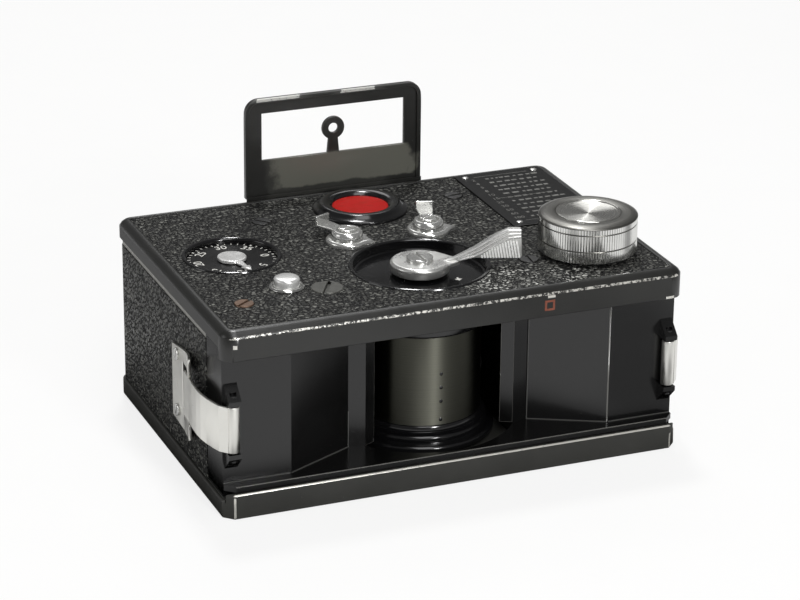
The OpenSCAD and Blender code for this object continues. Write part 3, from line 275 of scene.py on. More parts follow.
def plated(name, colour, rough, metal=1.0, grit=0.35, depth=0.006, stretch=(1, 1, 1)):
    """Metal plate over brass or steel, polished or satin: bright, with faint smudges and fine grit marks.

    Metal below 1 stands for the pale haze that years of handling leave on small plated fittings. Grit and
    its depth are in millimetres.
    """
    made, put, shader, place = start(name)
    drawn = put("Mapping", Vector=place, Scale=stretch)
    smudge = put("TexNoise", Vector=place, Scale=1 / (5 * MM), Detail=4.0)
    grits = put("TexNoise", Vector=drawn, Scale=1 / (grit * MM), Detail=3.0)
    tone = put("Mix", "RGBA", _0=smudge, _6=toned(colour, 0.82), _7=toned(colour))
    gloss = put("MapRange", Value=smudge, From_Min=0.3, From_Max=0.7, To_Min=rough * 0.8, To_Max=rough * 1.35)
    bump = put("Bump", Strength=0.35, Distance=depth * MM, Height=grits)
    feed(shader, Base_Color=tone, Metallic=metal, Roughness=gloss, Normal=bump)
    return made


def lathe_turned(name, colour, rough, metal, middle, pitch, spin, level=0.5):
    """Metal faced on a lathe: concentric tool marks that draw the light out across them.

    The marks are drawn coarser than the cutter left them, so that they show. Pitch is in millimetres.
    """
    made, put, shader, place = start(name)
    centred = put("Mapping", Vector=place, Location=-Vector(middle) * MM)
    axes = put("SeparateXYZ", _0=centred).outputs
    flat = put("CombineXYZ", _0=axes[0], _1=axes[1])
    reach = put("VectorMath", "LENGTH", _0=flat)
    along = put("Math", "ADD", _0=reach, _1=axes[2])
    cut = put("TexNoise", "1D", W=along, Scale=1 / (pitch * MM), Detail=3.0)
    tone = put("Mix", "RGBA", _0=cut, _6=toned(colour, 0.72), _7=toned(colour, 1.15))
    gloss = put("MapRange", Value=cut, To_Min=rough * 0.8, To_Max=rough * 1.25)
    round_way = put("Tangent", "RADIAL")
    bump = put("Bump", Strength=0.25, Distance=0.01 * MM, Height=cut)
    feed(shader, Base_Color=tone, Metallic=metal, Roughness=gloss, Anisotropic=spin,
         Anisotropic_Rotation=0.25, Tangent=round_way, Normal=bump, Specular_IOR_Level=level)
    return made


def plain_finish(name, colour, rough, metal=0.0, grit=0.4, level=0.5, mottling=0.25):
    """Matt paint, ink, moulded plastic, tin or bar stock: an even colour with a fine mottle and grit."""
    made, put, shader, place = start(name)
    mottle = put("TexNoise", Vector=place, Scale=1 / (grit * 8 * MM), Detail=4.0)
    grits = put("TexNoise", Vector=place, Scale=1 / (grit * MM), Detail=2.0)
    tone = put("Mix", "RGBA", _0=mottle, _6=toned(colour, 1 - mottling), _7=toned(colour, 1 + mottling))
    gloss = put("MapRange", Value=mottle, To_Min=rough * 0.85, To_Max=rough * 1.2)
    bump = put("Bump", Strength=0.2, Distance=0.015 * MM, Height=grits)
    feed(shader, Base_Color=tone, Metallic=metal, Roughness=gloss, Specular_IOR_Level=level, Normal=bump)
    return made


def level_spirit(name, colour):
    """Red lacquer under spirit: a clear bright red with rust-brown streaks settled in it."""
    made, put, shader, place = start(name)
    drawn = put("Mapping", Vector=place, Scale=(1, 3.2, 1))
    streak = put("TexNoise", Vector=drawn, Scale=1 / (6 * MM), Detail=4.0, Roughness=0.6)
    rust = put("MapRange", Value=streak, From_Min=0.5, From_Max=0.75, To_Max=0.6)
    tone = put("Mix", "RGBA", _0=rust, _6=toned(colour), _7=linear("#8a3210"))
    feed(shader, Base_Color=tone, Roughness=0.3, Specular_IOR_Level=0.12)
    return made


def window_glass(name):
    """Polished clear glass, thin enough to show what lies below it with only a gloss on top."""
    made, put, shader, place = start(name)
    smear = put("TexNoise", Vector=place, Scale=1 / (7 * MM), Detail=3.0)
    gloss = put("MapRange", Value=smear, To_Min=0.02, To_Max=0.08)
    feed(shader, Base_Color=linear("#2a0606"), Roughness=gloss, Alpha=0.07, IOR=1.5)
    return made


def lens_glass(name):
    """Ground and polished lens glass over a dark barrel: near black, with a deep clear gloss."""
    made, put, shader, place = start(name)
    bloom = put("TexNoise", Vector=place, Scale=1 / (9 * MM), Detail=2.0)
    tone = put("Mix", "RGBA", _0=bloom, _6=linear("#070a10"), _7=linear("#121a2a"))
    feed(shader, Base_Color=tone, Roughness=0.03, IOR=1.62, Coat_Weight=1.0, Coat_Roughness=0.02)
    return made


def finishes():
    """How each finish is made, by name. Its patches of wear are placed from the frame, in millimetres."""
    c = colours()
    low, high, _ = place_of("top_cover")
    side, front, apron, rim = high.x, -high.y, low.z, high.z - 2.2
    knob, drum, dial = (place_of(node)[2] for node in ("wind_knob", "drum_tube", "counter_dial"))
    sheet_low, sheet_high, sheet = place_of("finder_frame")
    face, fold = sheet_low.y, sheet_high.z - 0.5
    return {
        # Satin black on the cast cover, rubbed bright in dashes along the front rim, with a few chips.
        "cover enamel": lambda: enamel("cover_enamel", c.paint, 0.3, (
            ((0, front, rim + 0.1), (2 * side, 1.3, 0.7), 0.91),
            ((4 - side, front, rim - 2.9), (0.9, 1, 0.9), 1.5),
            ((side, front + 6, rim - 3.4), (1, 1.6, 0.9), 1.4),
            ((side - 5.4, front, apron + 0.5), (2.2, 1, 0.7), 1.3),
            ((32.2, front, rim - 0.9), (1.9, 1, 0.6), 1.4))),
        # Duller, greyer black on the cast base, worn through at its front corners.
        "base enamel": lambda: enamel("base_enamel", linear("#30302d"), 0.55, (
            ((3.4 - side, front, 4), (0.5, 0.8, 5), 1.4),
            ((side - 3.0, front, 3), (0.6, 0.8, 4), 1.2),
            ((side, front + 3.2, 4), (0.6, 0.9, 4), 1.1))),
        # Deep gloss black on the front chassis, with a painted highlight that pales its edges.
        "body enamel": lambda: enamel("body_enamel", linear("#0d0d0d"), 0.18, shine=0.22),
        # Pale grey enamel on thin strips in the seams of the front, drawing thin light lines there.
        "seam enamel": lambda: enamel("seam_enamel", linear("#4a4a48"), 0.4),
        # Black of the rear shell, with a pale rubbed line round its upper edge.
        "shell enamel": lambda: enamel("shell_enamel", c.paint, 0.36, (
            ((0, 0, 57.4), (300, 300, 1.7), 0.85),), shine=0.5),
        # Black of the finder's sheet: two bared lengths of its fold, and a dull grey scuff on its face.
        "finder enamel": lambda: enamel("finder_enamel", c.paint, 0.34, (
            ((sheet.x - 21, face, fold), (13, 1.6, 0.9), 1.02),
            ((sheet.x + 9, face, fold), (11, 1.6, 0.9), 1.0)), 0.08, linear("#c9c9c4"), (
            ((sheet.x - 2, face + 1, sheet_low.z + 11), (30, 4, 10), "#2e2e2b"),
            ((sheet.x + 4, face + 1, sheet_low.z + 12), (33, 4, 7.6), "#5f5f57"))),
        # Clean polished black.
        "gloss black": lambda: enamel("gloss_black", c.gloss, 0.14),
        # Blacked steel, browned a little at its edges.
        "black screw": lambda: enamel("blacked_screw", c.gloss, 0.4, shine=0.1, bare=linear("#6a665f")),
        # Pebbled black, with painted glints in front of the lever and the knob, where the chrome throws
        # light.
        "leather": lambda: grained_leather("grained_leather", c.leather, sizes().pebble, (
            ((21, -44, 64), (15, 14, 8)), ((45, -48, 64), (9, 9, 8)))),
        # Dark turned metal with one broad upright glow.
        "drum": lambda: lathe_turned("turned_drum", c.drum, 0.5, 1.0, drum, 0.35, 0.9),
        # Turned faces: bright with a spread of light, satin grey, and flat black.
        "knob face": lambda: lathe_turned("turned_knob", linear("#e2e1dc"), 0.25, 1.0, knob, 0.28, 0.93),
        "knob ring": lambda: lathe_turned("satin_knob_ring", linear("#83827e"), 0.36, 1.0, knob, 0.4, 0.3),
        "dial": lambda: lathe_turned("turned_dial", linear("#0c0c0c"), 0.3, 0.0, dial, 0.5, 0.4, 0.2),
        # Chrome plate: mirror-bright on the knob's knurls, then ever paler and softer with handling.
        "knob": lambda: plated("knurled_chrome", c.chrome, 0.14, grit=0.3, depth=0.008),
        "chrome": lambda: plated("polished_chrome", c.chrome, 0.17, 0.86),
        "hazed chrome": lambda: plated("hazed_chrome", linear("#f6f6f4"), 0.22, 0.6),
        "satin chrome": lambda: plated("satin_chrome", c.chrome, 0.28, 0.86, 0.5, 0.03),
        "ribbed chrome": lambda: plated("ribbed_chrome", linear("#fdfdfb"), 0.45, 0.1, 0.5, 0.02),
        # Satin nickel, brushed upright.
        "nickel": lambda: plated("satin_nickel", c.nickel, 0.34, 1.0, 0.3, 0.004, (1, 1, 0.12)),
        # Etched black plate, and the inks that fill marks: white, worn grey and faded red.
        "table": lambda: plain_finish("etched_plate", linear("#101010"), 0.3, 0.0, 0.3, 0.2, 0.35),
        "ink": lambda: plain_finish("filled_ink", c.ink, 0.6, 0.0, 0.3, 0.4, 0.12),
        "faint ink": lambda: plain_finish("worn_ink", linear("#6e6e6a"), 0.6, 0.0, 0.3, 0.4, 0.5),
        "red mark": lambda: plain_finish("red_filling", linear("#77402f"), 0.6, 0.0, 0.3, 0.4, 0.3),
        # Half-bare metal: a brown brass screw and a plug rubbed to grey.
        "brown screw": lambda: plain_finish("browned_brass", linear("#705a4b"), 0.4, 0.6, mottling=0.35),
        "worn plug": lambda: plain_finish("worn_black_plug", linear("#5c5c58"), 0.34, 0.7, 0.3, mottling=0.4),
        # Clear red under a thin pane, and the dark lens.
        "level": lambda: level_spirit("level_spirit", c.level),
        "window": lambda: window_glass("window_glass"),
        "lens": lambda: lens_glass("lens_glass"),
        # Inside: dead matt black, clean bar steel, yellow turned brass, black plastic, grey-blue tin.
        "chamber": lambda: plain_finish("matt_chamber_black", linear("#111112"), 0.75, 0.0, 0.5, 0.3),
        "steel": lambda: plain_finish("bar_steel", linear("#9c9c9a"), 0.3, 1.0, 0.3),
        "brass": lambda: plain_finish("turned_brass", linear("#b59a5a"), 0.3, 1.0, 0.3),
        "plastic": lambda: plain_finish("moulded_plastic", linear("#141415"), 0.35),
        "tin": lambda: plain_finish("lacquered_tin", linear("#2d3038"), 0.32, 0.6, 0.5),
    }


COATS = {}


def coat(name):
    """The finish of that name, made once."""
    if name not in COATS:
        COATS[name] = finishes()[name]()
    return COATS[name]


def soften(bm, width, angle=30, pick=None, rub=0.8, smooth=15, segments=2):
    """Rounds convex edges sharper than angle and marks the new faces as rubbed.

    pick is asked about an edge's two ends and rub about a new face's middle, in millimetres. Narrow faces
    that meet at less than smooth degrees belong to a curve, and wide ones stay flat.
    """
    widest, flattest = 4 * MM, math.radians(0.2)
    wear = bm.faces.layers.float.get("wear") or bm.faces.layers.float.new("wear")
    for face in bm.faces:
        bends = [e.calc_face_angle(0.0) for e in face.edges if len(e.link_faces) == 2]
        narrow = face.calc_area() < widest * max(e.calc_length() for e in face.edges)
        face.smooth = narrow and any(flattest < b < math.radians(smooth) for b in bends)
    edges = [e for e in bm.edges if len(e.link_faces) == 2
             and e.calc_face_angle_signed(0.0) > math.radians(angle)
             and (pick is None or pick(e.verts[0].co / MM, e.verts[1].co / MM))]
    if width and edges:
        made = bmesh.ops.bevel(bm, geom=edges, offset=width, offset_type="OFFSET", affect="EDGES",
                               segments=segments, profile=0.5, material=-1, clamp_overlap=False)
        for face in made["faces"]:
            face[wear] = rub(face.calc_center_median() / MM) if callable(rub) else rub
            face.smooth = True
    return bm


def copied(node):
    """A frame node's shape with its triangles merged into whole faces."""
    closest, flattest = 0.003 * MM, math.radians(0.4)
    bm = bmesh.new()
    bm.from_mesh(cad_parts[node].data)
    bmesh.ops.remove_doubles(bm, verts=bm.verts, dist=closest)
    bmesh.ops.dissolve_limit(bm, angle_limit=flattest, verts=bm.verts, edges=bm.edges)
    return bm


def rounded(node, width, above=-math.inf, segments=2):
    """A copy of a frame node with its sharp edges above a height rounded."""
    return soften(copied(node), width, 40, lambda a, b: min(a.z, b.z) > above, segments=segments)


def points_of(made):
    """The points among what a bmesh operator made."""
    return [g for g in made["geom"] if isinstance(g, bmesh.types.BMVert)]


def from_corner(r, z, *steps):
    """Profile points given as steps from one corner of a turned piece."""
    return [(r + out, z + up) for out, up in steps]


def turned(profile, middle, steps=None, bm=None):
    """A lathe-turned form: (radius, height) points in millimetres, spun about an upright axis."""
    part = bmesh.new()
    points = [part.verts.new((r * MM, 0, z * MM)) for r, z in profile]
    lines = [part.edges.new(pair) for pair in zip(points, points[1:])]
    bmesh.ops.spin(part, geom=points + lines, cent=(0, 0, 0), axis=(0, 0, 1), angle=2 * math.pi,
                   steps=steps or sizes().lathe_steps, use_merge=True, use_duplicate=False)
    bmesh.ops.remove_doubles(part, verts=part.verts, dist=0.001 * MM)
    bmesh.ops.recalc_face_normals(part, faces=part.faces)
    bmesh.ops.translate(part, verts=part.verts, vec=(middle[0] * MM, middle[1] * MM, 0))
    return join(bm, part)


def cut_sheet(outline, z0, z1, middle):
    """A plate cut to an outline of (x, y) points about a middle, between two heights, in millimetres."""
    part = bmesh.new()
    face = part.faces.new([part.verts.new((x * MM, y * MM, z0 * MM)) for x, y in outline])
    up = points_of(bmesh.ops.extrude_face_region(part, geom=[face]))
    bmesh.ops.translate(part, verts=up, vec=(0, 0, (z1 - z0) * MM))
    bmesh.ops.recalc_face_normals(part, faces=part.faces)
    bmesh.ops.translate(part, verts=part.verts, vec=(middle[0] * MM, middle[1] * MM, 0))
    return part


def block(low, high, bm, matrix=None):
    """Adds a rectangular block between two corners in millimetres."""
    part = bmesh.new()
    bmesh.ops.create_cube(part, size=1.0)
    low, high = Vector(low) * MM, Vector(high) * MM
    bmesh.ops.scale(part, vec=high - low, verts=part.verts)
    bmesh.ops.translate(part, vec=(low + high) / 2, verts=part.verts)
    if matrix:
        bmesh.ops.transform(part, matrix=matrix, verts=part.verts)
    join(bm, part)


def join(bm, part):
    """Adds one mesh under construction to another, or returns it where there is no other."""
    if bm is None:
        return part
    spare = bpy.data.meshes.new("spare")
    part.to_mesh(spare)
    part.free()
    bm.from_mesh(spare)
    bpy.data.meshes.remove(spare)
    return bm


def numeral(bm, number, size, matrix):
    """Adds a raised numeral, made from Blender's own plain typeface."""
    curve = bpy.data.curves.new("numeral", "FONT")
    curve.body = str(number)
    curve.size = size * MM
    curve.align_x = "CENTER"
    curve.align_y = "CENTER"
    curve.extrude = 0.02 * MM
    holder = bpy.data.objects.new("numeral", curve)
    bpy.context.scene.collection.objects.link(holder)
    graph = bpy.context.evaluated_depsgraph_get()
    mesh = bpy.data.meshes.new_from_object(holder.evaluated_get(graph))
    mesh.transform(matrix)
    bm.from_mesh(mesh)
    bpy.data.objects.remove(holder)
    bpy.data.curves.remove(curve)
    bpy.data.meshes.remove(mesh)


def finish(bm, name, body, slot, finish_name, *nodes, sharp=38):
    """Turns a mesh under construction into a piece that rides on a body and stands for frame nodes."""
    if not bm.faces:
        raise RuntimeError(name + " has no faces")
    mesh = bpy.data.meshes.new(name)
    curved = [face.smooth for face in bm.faces]
    bm.to_mesh(mesh)
    bm.free()
    mesh.set_sharp_from_angle(angle=math.radians(sharp))
    mesh.polygons.foreach_set("use_smooth", curved)
    piece = bpy.data.objects.new(name, mesh)
    bpy.context.scene.collection.objects.link(piece)
    mesh.materials.append(coat(finish_name))
    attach(piece, body)
    if nodes:
        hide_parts(*nodes)
    return piece


def spun(profile, middle, *words, steps=None):
    """A lathe-turned piece, with the words that finish takes."""
    return finish(soften(turned(profile, middle, steps), 0), *words)


def paint_node(node, finish_name):
    """Gives a frame node that keeps its own shape a finish."""
    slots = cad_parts[node].data.materials
    if not len(slots):
        slots.append(coat(finish_name))
    for i in range(len(slots)):
        slots[i] = coat(finish_name)


class PANORAMIC_OT_stage(bpy.types.Operator):
    """Sets up the floor, the soft lights and the camera"""

    bl_idname = "panoramic.stage"
    bl_label = "Stage"

    def execute(self, context):
        scene = context.scene
        scene.view_settings.view_transform = "Standard"
        bm = bmesh.new()
        bmesh.ops.create_grid(bm, x_segments=1, y_segments=1, size=FLOOR_HALF)
        bmesh.ops.translate(bm, verts=bm.verts, vec=(0, 0, -FLOOR_DROP))
        mesh = bpy.data.meshes.new("floor")
        bm.to_mesh(mesh)
        bm.free()
        floor = bpy.data.objects.new("floor", mesh)
        scene.collection.objects.link(floor)
        mesh.materials.append(self.paper())
        world = bpy.data.worlds.new("studio")
        scene.world = world
        world.use_nodes = True
        world.node_tree.nodes["Background"].inputs[0].default_value = (ROOM_GREY, ROOM_GREY, ROOM_GREY, 1)
        for name, spot, aim, wide, tall, power in LAMPS:
            lamp = bpy.data.lights.new(name, "AREA")
            lamp.shape = "RECTANGLE"
            lamp.size, lamp.size_y = wide, tall
            lamp.energy = power
            holder = bpy.data.objects.new(name, lamp)
            scene.collection.objects.link(holder)
            holder.location = spot
            holder.rotation_euler = (Vector(aim) - Vector(spot)).to_track_quat("-Z", "Y").to_euler()
        lens = bpy.data.cameras.new("view")
        lens.sensor_width = 36
        lens.sensor_fit = "HORIZONTAL"
        lens.lens = VIEW_LENS
        lens.clip_start = 0.01
        viewer = bpy.data.objects.new("view", lens)
        scene.collection.objects.link(viewer)
        turn, tilt, roll = (math.radians(a) for a in (VIEW_TURN, VIEW_TILT, VIEW_ROLL))
        viewer.matrix_world = (
            Matrix.Translation(Vector(VIEW_AIM) * MM)
            @ Matrix.Rotation(turn, 4, "Z") @ Matrix.Rotation(math.pi / 2 - tilt, 4, "X")
            @ Matrix.Translation((0, 0, VIEW_DISTANCE * MM)) @ Matrix.Rotation(roll, 4, "Z"))
        scene.camera = viewer
        return {"FINISHED"}

    def paper(self):
        """White paper sweep: matt, and shown white to the camera and in reflections, shadow kept.

        Reflections show a painted shadow: a dark strip in front of the body. Painted shade also takes the
        sweep down to grey in front of the right panel and beside the left wall.
        """
        made, put, shader, place = start("white_paper")
        fibre = put("TexNoise", Vector=place, Scale=40.0, Detail=2.0)
        tone = put("Mix", "RGBA", _0=fibre, _6=linear("#f0f0ee"), _7=linear("#f6f6f4"))
        feed(shader, Base_Color=tone, Roughness=0.9, Specular_IOR_Level=0.1)
        glow = put("Emission", Strength=1.0)
        path = put("LightPath").outputs
        seen = put("Math", "MAXIMUM", _0=path["Is Camera Ray"], _1=path["Is Transmission Ray"])
        share = put("Math", "MULTIPLY", _0=seen, _1=0.8)
        both = put("MixShader", _0=share, _1=shader, _2=glow)
        x, y, _ = put("SeparateXYZ", _0=place).outputs
        across = put("Math", "ABSOLUTE", _0=x)

        def shaded(amount, *ramps):
            """That amount over a part of the sweep, falling to 0 at the edges given in millimetres."""
            for axis, edge, full in ramps:
                ramp = put("MapRange", Value=axis, From_Min=edge * MM, From_Max=full * MM)
                amount = put("Math", "MULTIPLY", _0=amount, _1=ramp)
            return amount

        # Painted shadow for reflections only: a dark strip in front of the body, and grey shade beside the
        # right panel and the left wall.
        under = shaded(0.96, (y, -86, -74), (y, 95, 72), (across, 108, 88))
        right = shaded(0.58, (x, 25, 80), (x, 155, 125), (y, -62, -84))
        left = shaded(0.8, (x, -98, -120), (x, -190, -160), (y, 20, 60))
        grey = put("Math", "MAXIMUM", _0=left, _1=right)
        dark = put("Math", "MAXIMUM", _0=under, _1=grey)
        light = put("Math", "SUBTRACT", _0=0.95, _1=dark)
        mirrored = put("Emission", Strength=light)
        both = put("MixShader", _0=path["Is Glossy Ray"], _1=both, _2=mirrored)
        feed(next(n for n in made.node_tree.nodes if n.type == "OUTPUT_MATERIAL"), Surface=both)
        return made


class PANORAMIC_OT_castings(bpy.types.Operator):
    """Dresses the top cover, the base, the front chassis and the rear shell"""

    bl_idname = "panoramic.castings"
    bl_label = "Castings"

    def execute(self, context):
        edge = sizes().edge
        self.cover(edge)
        lip = self.base(edge)
        ledge = lip + 2.4

        def front_edge(a, b):
            upright = (a - b).xy.length < 0.01 and abs(a.z - b.z) > 20 and 40 < a.x < 60
            level = min(a.z, b.z) > ledge - 0.02 and max(a.z, b.z) < ledge + 0.02
            return upright or (level and max(a.y, b.y) < -55)

        bm = soften(copied("front_chassis"), edge * 0.55, 20, front_edge, 0.75)
        finish(bm, "front_casting", "chassis", "body_paint", "body enamel", "front_chassis")
        self.lips_and_seams(ledge)
        top = place_of("rear_shell")[1].z
        finish(rounded("rear_shell", edge * 0.7, top - 0.1),
               "rear_casting", "shell", "base_paint", "shell enamel", "rear_shell")
        return {"FINISHED"}

    def cover(self, edge):
        """The top cover, rounded along its inner rim and the foot of its apron."""
        low, high, _ = place_of("top_cover")
        wall = 3

        def cover_edge(a, b):
            apron = max(a.z, b.z) < low.z + 0.2 and max(a.y, b.y) < low.y + 0.3
            across, along = max(abs(a.x), abs(b.x)), max(abs(a.y), abs(b.y))
            inner = across < high.x - wall and along < high.y - wall
            return apron or (min(a.z, b.z) > high.z - 0.1 and inner)

        def rub(p):
            return 0.72 if p.z < high.z - 2 else 1.0 if p.x < -70 else 0.78

        bm = soften(copied("top_cover"), edge * 0.6, 40, cover_edge, rub, 40)
        finish(bm, "cover_casting", "chassis", "cover_paint", "cover enamel", "top_cover", sharp=45)

    def base(self, edge):
        """The base, rounded round its foot, its side and its lip. Returns the lip's height."""
        low, high, _ = place_of("base_plate")
        lip, side = high.z, 6.0

        def base_edge(a, b):
            p = (a + b) / 2
            outer = p.y < low.y + 0.3 or abs(p.x) > high.x - 3.4 or p.y > high.y - 5.2
            around = outer and (abs(p.z) < 0.1 or abs(p.z - side) < 0.1)
            front = abs(p.y - low.y) < 0.1 and abs(p.x) > high.x - 4
            corner = abs(p.x) > high.x - 0.1 and p.y < low.y + 4
            return around or abs(p.z - lip) < 0.1 or front or corner

        def rub(p):
            return 1.05 if p.z > lip - 0.7 and p.y < low.y + 0.7 else 0.7

        bm = soften(copied("base_plate"), edge, 28, base_edge, rub)
        finish(bm, "base_casting", "chassis", "base_paint", "base enamel", "base_plate")
        return lip

    def lips_and_seams(self, ledge):
        """The lips of the drum's mouth, and pale strips that draw thin light lines in the seams where panels
        and posts meet the ledge.
        """
        panel_x, panel_y, panel_in, panel_back, panel_long = 56.5, -51.72, 24.3, 12.1, 27
        lip_x, lip_y, lip_long, lip_thick, lip_top = 26.7, -40.8, 4.6, 0.9, 52.6
        flat_x, flat_half, flat_y, seam = 68.4, 11.5, -51.7, 0.3
        post_x, post_y, post_back = 32.2, -39.95, -39.5
        lips, seams = bmesh.new(), bmesh.new()
        for side, post_top in ((-1, 24), (1, 52.4)):
            run = Vector((-panel_in * side, panel_back, 0)).normalized()
            lean = Matrix(((run.x, -run.y, 0, 0), (run.y, run.x, 0, 0), (0, 0, 1, 0), (0, 0, 0, 1)))
            lip = Matrix.Translation(Vector((lip_x * side, lip_y, 0)) * MM) @ lean
            behind, before = -side * lip_thick, side * seam
            block((0, min(0, behind), ledge), (lip_long, max(0, behind), lip_top), lips, lip)
            foot = Matrix.Translation(Vector((panel_x * side, panel_y, 0)) * MM) @ lean
            block((0, min(0, before), ledge), (panel_long, max(0, before), ledge + seam), seams, foot)
            flat, post = side * flat_x, side * post_x
            block((flat - flat_half, flat_y - seam, ledge), (flat + flat_half, flat_y, ledge + seam), seams)
            block((post - seam / 2, post_y, ledge), (post + seam / 2, post_back, post_top), seams)
        finish(soften(lips, 0.2 * MM, 40), "mouth_lips", "chassis", "body_paint", "body enamel")
        finish(soften(seams, 0), "sill_seams", "chassis", "body_paint", "seam enamel")


class PANORAMIC_OT_leather(bpy.types.Operator):
    """Lays the grained leather on the top and round the rear shell"""

    bl_idname = "panoramic.leather"
    bl_label = "Leather"

    def execute(self, context):
        low, high, _ = place_of("body_leather")
        bm = soften(copied("body_leather"), 0.18 * MM, 50,
                    lambda a, b: min(a.z, b.z) > high.z - 0.1 or max(a.y, b.y) < low.y + 0.1)
        finish(bm, "body_covering", "shell", "leather", "leather", "body_leather")
        finish(soften(copied("top_leather"), 0),
               "top_covering", "chassis", "leather", "leather", "top_leather")
        return {"FINISHED"}


class PANORAMIC_OT_finder(bpy.types.Operator):
    """Dresses the folding finder frame and its hinge"""

    bl_idname = "panoramic.finder"
    bl_label = "Finder"

    def execute(self, context):
        above_hinge = 66
        finish(rounded("finder_frame", sizes().thin_edge, above_hinge),
               "finder_sheet", "finder", "finder_paint", "finder enamel", "finder_frame")
        paint_node("finder_hinge", "finder enamel")
        paint_node("finder_pin", "steel")
        return {"FINISHED"}


class PANORAMIC_OT_counter(bpy.types.Operator):
    """Makes the frame counter: dish, dial, marks and pointer"""

    bl_idname = "panoramic.counter"
    bl_label = "Frame counter"

    def execute(self, context):
        low, high, mid = place_of("counter_dish")
        r, skin, floor, bore = radius_of("counter_dish"), high.z - 0.5, low.z + 1, 1.8
        rim = from_corner(r, skin, (-0.6, 0), (0, 0), (-0.15, 0.38), (-0.45, 0.5), (-0.9, 0.5),
                          (-1.25, 0.36), (-1.5, 0.1), (-1.6, -0.4))
        cup = [(bore, low.z), (r - 0.6, low.z)] + rim + [(r - 1.6, floor), (bore, floor), (bore, low.z)]
        spun(cup, mid, "counter_cup", "chassis", "gloss_black", "gloss black", "counter_dish")
        low, high, mid = place_of("counter_dial")
        top, reach, bore = high.z, radius_of("counter_dial"), 1.45
        dial = [(bore, low.z), (reach, low.z), (reach, top - 0.2), (reach - 0.2, top), (bore, top),
                (bore, low.z)]
        spun(dial, mid, "counter_face", "chassis", "dial_black", "dial", "counter_dial")
        marks = bmesh.new()
        count, group = 40, 5
        centre = Matrix.Translation((mid.x * MM, mid.y * MM, 0))
        for i in range(count):
            spin = centre @ Matrix.Rotation(2 * math.pi * i / count, 4, "Z")
            long, half = (1.3, 0.13) if i % group else (1.0, 0.3)
            if i % group == 0:
                spot = spin @ Matrix.Translation(((reach - 3.6) * MM, 0, (top + 0.03) * MM)) \
                    @ Matrix.Rotation(-math.pi / 2, 4, "Z")
                numeral(marks, (count - i) % count, 4.3, spot)
            block((reach - long, -half, top), (reach - 0.2, half, top + 0.05), marks, spin)
        finish(marks, "counter_marks", "chassis", "dial_black", "ink")
        finish(rounded("counter_pointer", 0.3 * MM, top + 0.4, 4),
               "counter_hand", "pointer", "chrome", "hazed chrome", "counter_pointer")
        return {"FINISHED"}


class PANORAMIC_OT_release(bpy.types.Operator):
    """Makes the release button, its collar and the plug screw"""

    bl_idname = "panoramic.release"
    bl_label = "Release button"

    def execute(self, context):
        low, _, mid = place_of("button_collar")
        r, z, bore = radius_of("button_collar"), low.z, 4.4
        ring = [(bore, z), (r, z), (r, z + 0.3), (r - 0.5, z + 0.8), (bore + 0.3, z + 0.8), (bore, z + 0.5),
                (bore, z)]
        bm = soften(turned(ring, mid), 0.12 * MM)
        finish(bm, "release_collar", "chassis", "chrome", "knob", "button_collar")
        low, high, mid = place_of("release_button")
        head, stem, top = 4.3, 1.8, high.z
        plunger = [(0, low.z), (stem, low.z), (stem, z + 0.3), (head, z + 0.3)]
        plunger += from_corner(head, top, (0, -0.95), (-0.12, -0.6), (-0.45, -0.3), (-0.9, -0.2))
        plunger += [(head * 0.6, top - 0.08), (head * 0.3, top - 0.02), (0, top)]
        spun(plunger, mid, "release_plunger", "button", "chrome", "hazed chrome", "release_button")
        paint_node("release_spring", "steel")
        finish(rounded("plug_screw", 0.2 * MM, place_of("plug_screw")[0].z + 0.5),
               "access_plug", "chassis", "gloss_black", "worn plug", "plug_screw")
        return {"FINISHED"}


class PANORAMIC_OT_level(bpy.types.Operator):
    """Makes the round spirit level"""

    bl_idname = "panoramic.level"
    bl_label = "Spirit level"

    def execute(self, context):
        low, high, mid = place_of("level_bezel")
        r, z, top = radius_of("level_bezel"), low.z, high.z
        well = radius_of("level_vial")
        bore = well + 0.05
        bezel = [(bore, z), (r, z), (r, z + 0.8), (r - 0.15, z + 1.0), (r - 0.5, z + 1.2)]
        bezel += from_corner(r, top, (-1.3, -1.4), (-1.9, -0.95), (-2.3, -0.4), (-2.8, -0.1), (-3.4, 0))
        bezel += from_corner(well, top, (2.2, -0.12), (1.4, -0.3), (0.6, -0.75), (0.05, -1.3)) + [(bore, z)]
        spun(bezel, mid, "level_ring", "chassis", "gloss_black", "gloss black", "level_bezel", steps=128)
        low, high, mid = place_of("level_vial")
        cell = [(0, low.z), (well, low.z), (well, high.z - 0.1), (well - 0.3, high.z), (0, high.z - 0.12)]
        spun(cell, mid, "level_cell", "chassis", "level_red", "level", "level_vial")
        low, high, mid = place_of("level_glass")
        pane = [(0, low.z + 0.02), (well, low.z + 0.02), (well, high.z - 0.2), (well - 0.5, high.z - 0.06),
                (well * 0.6, high.z), (0, high.z)]
        spun(pane, mid, "level_window", "chassis", "level_glass", "window", "level_glass")
        return {"FINISHED"}


class PANORAMIC_OT_speed_controls(bpy.types.Operator):
    """Dresses the two speed levers and their plates"""

    bl_idname = "panoramic.speed_controls"
    bl_label = "Speed levers"

    def execute(self, context):
        skin, hub = place_of("top_leather")[1].z, 5.5
        for side in ("left", "right"):
            node = "speed_plate_" + side
            low, _, mid = place_of(node)
            bm = soften(copied(node), 1.1 * MM, 40, lambda a, b: min(a.z, b.z) > low.z + 0.5
                        and max((a - mid).xy.length, (b - mid).xy.length) > hub, segments=6)
            finish(bm, "speed_base_" + side, "chassis", "chrome", "chrome", node)
            node = "speed_lever_" + side
            finish(rounded(node, 0.22 * MM, skin + 1.9, 3),
                   "speed_arm_" + side, "speed_" + side, "chrome", "chrome", node)
        return {"FINISHED"}


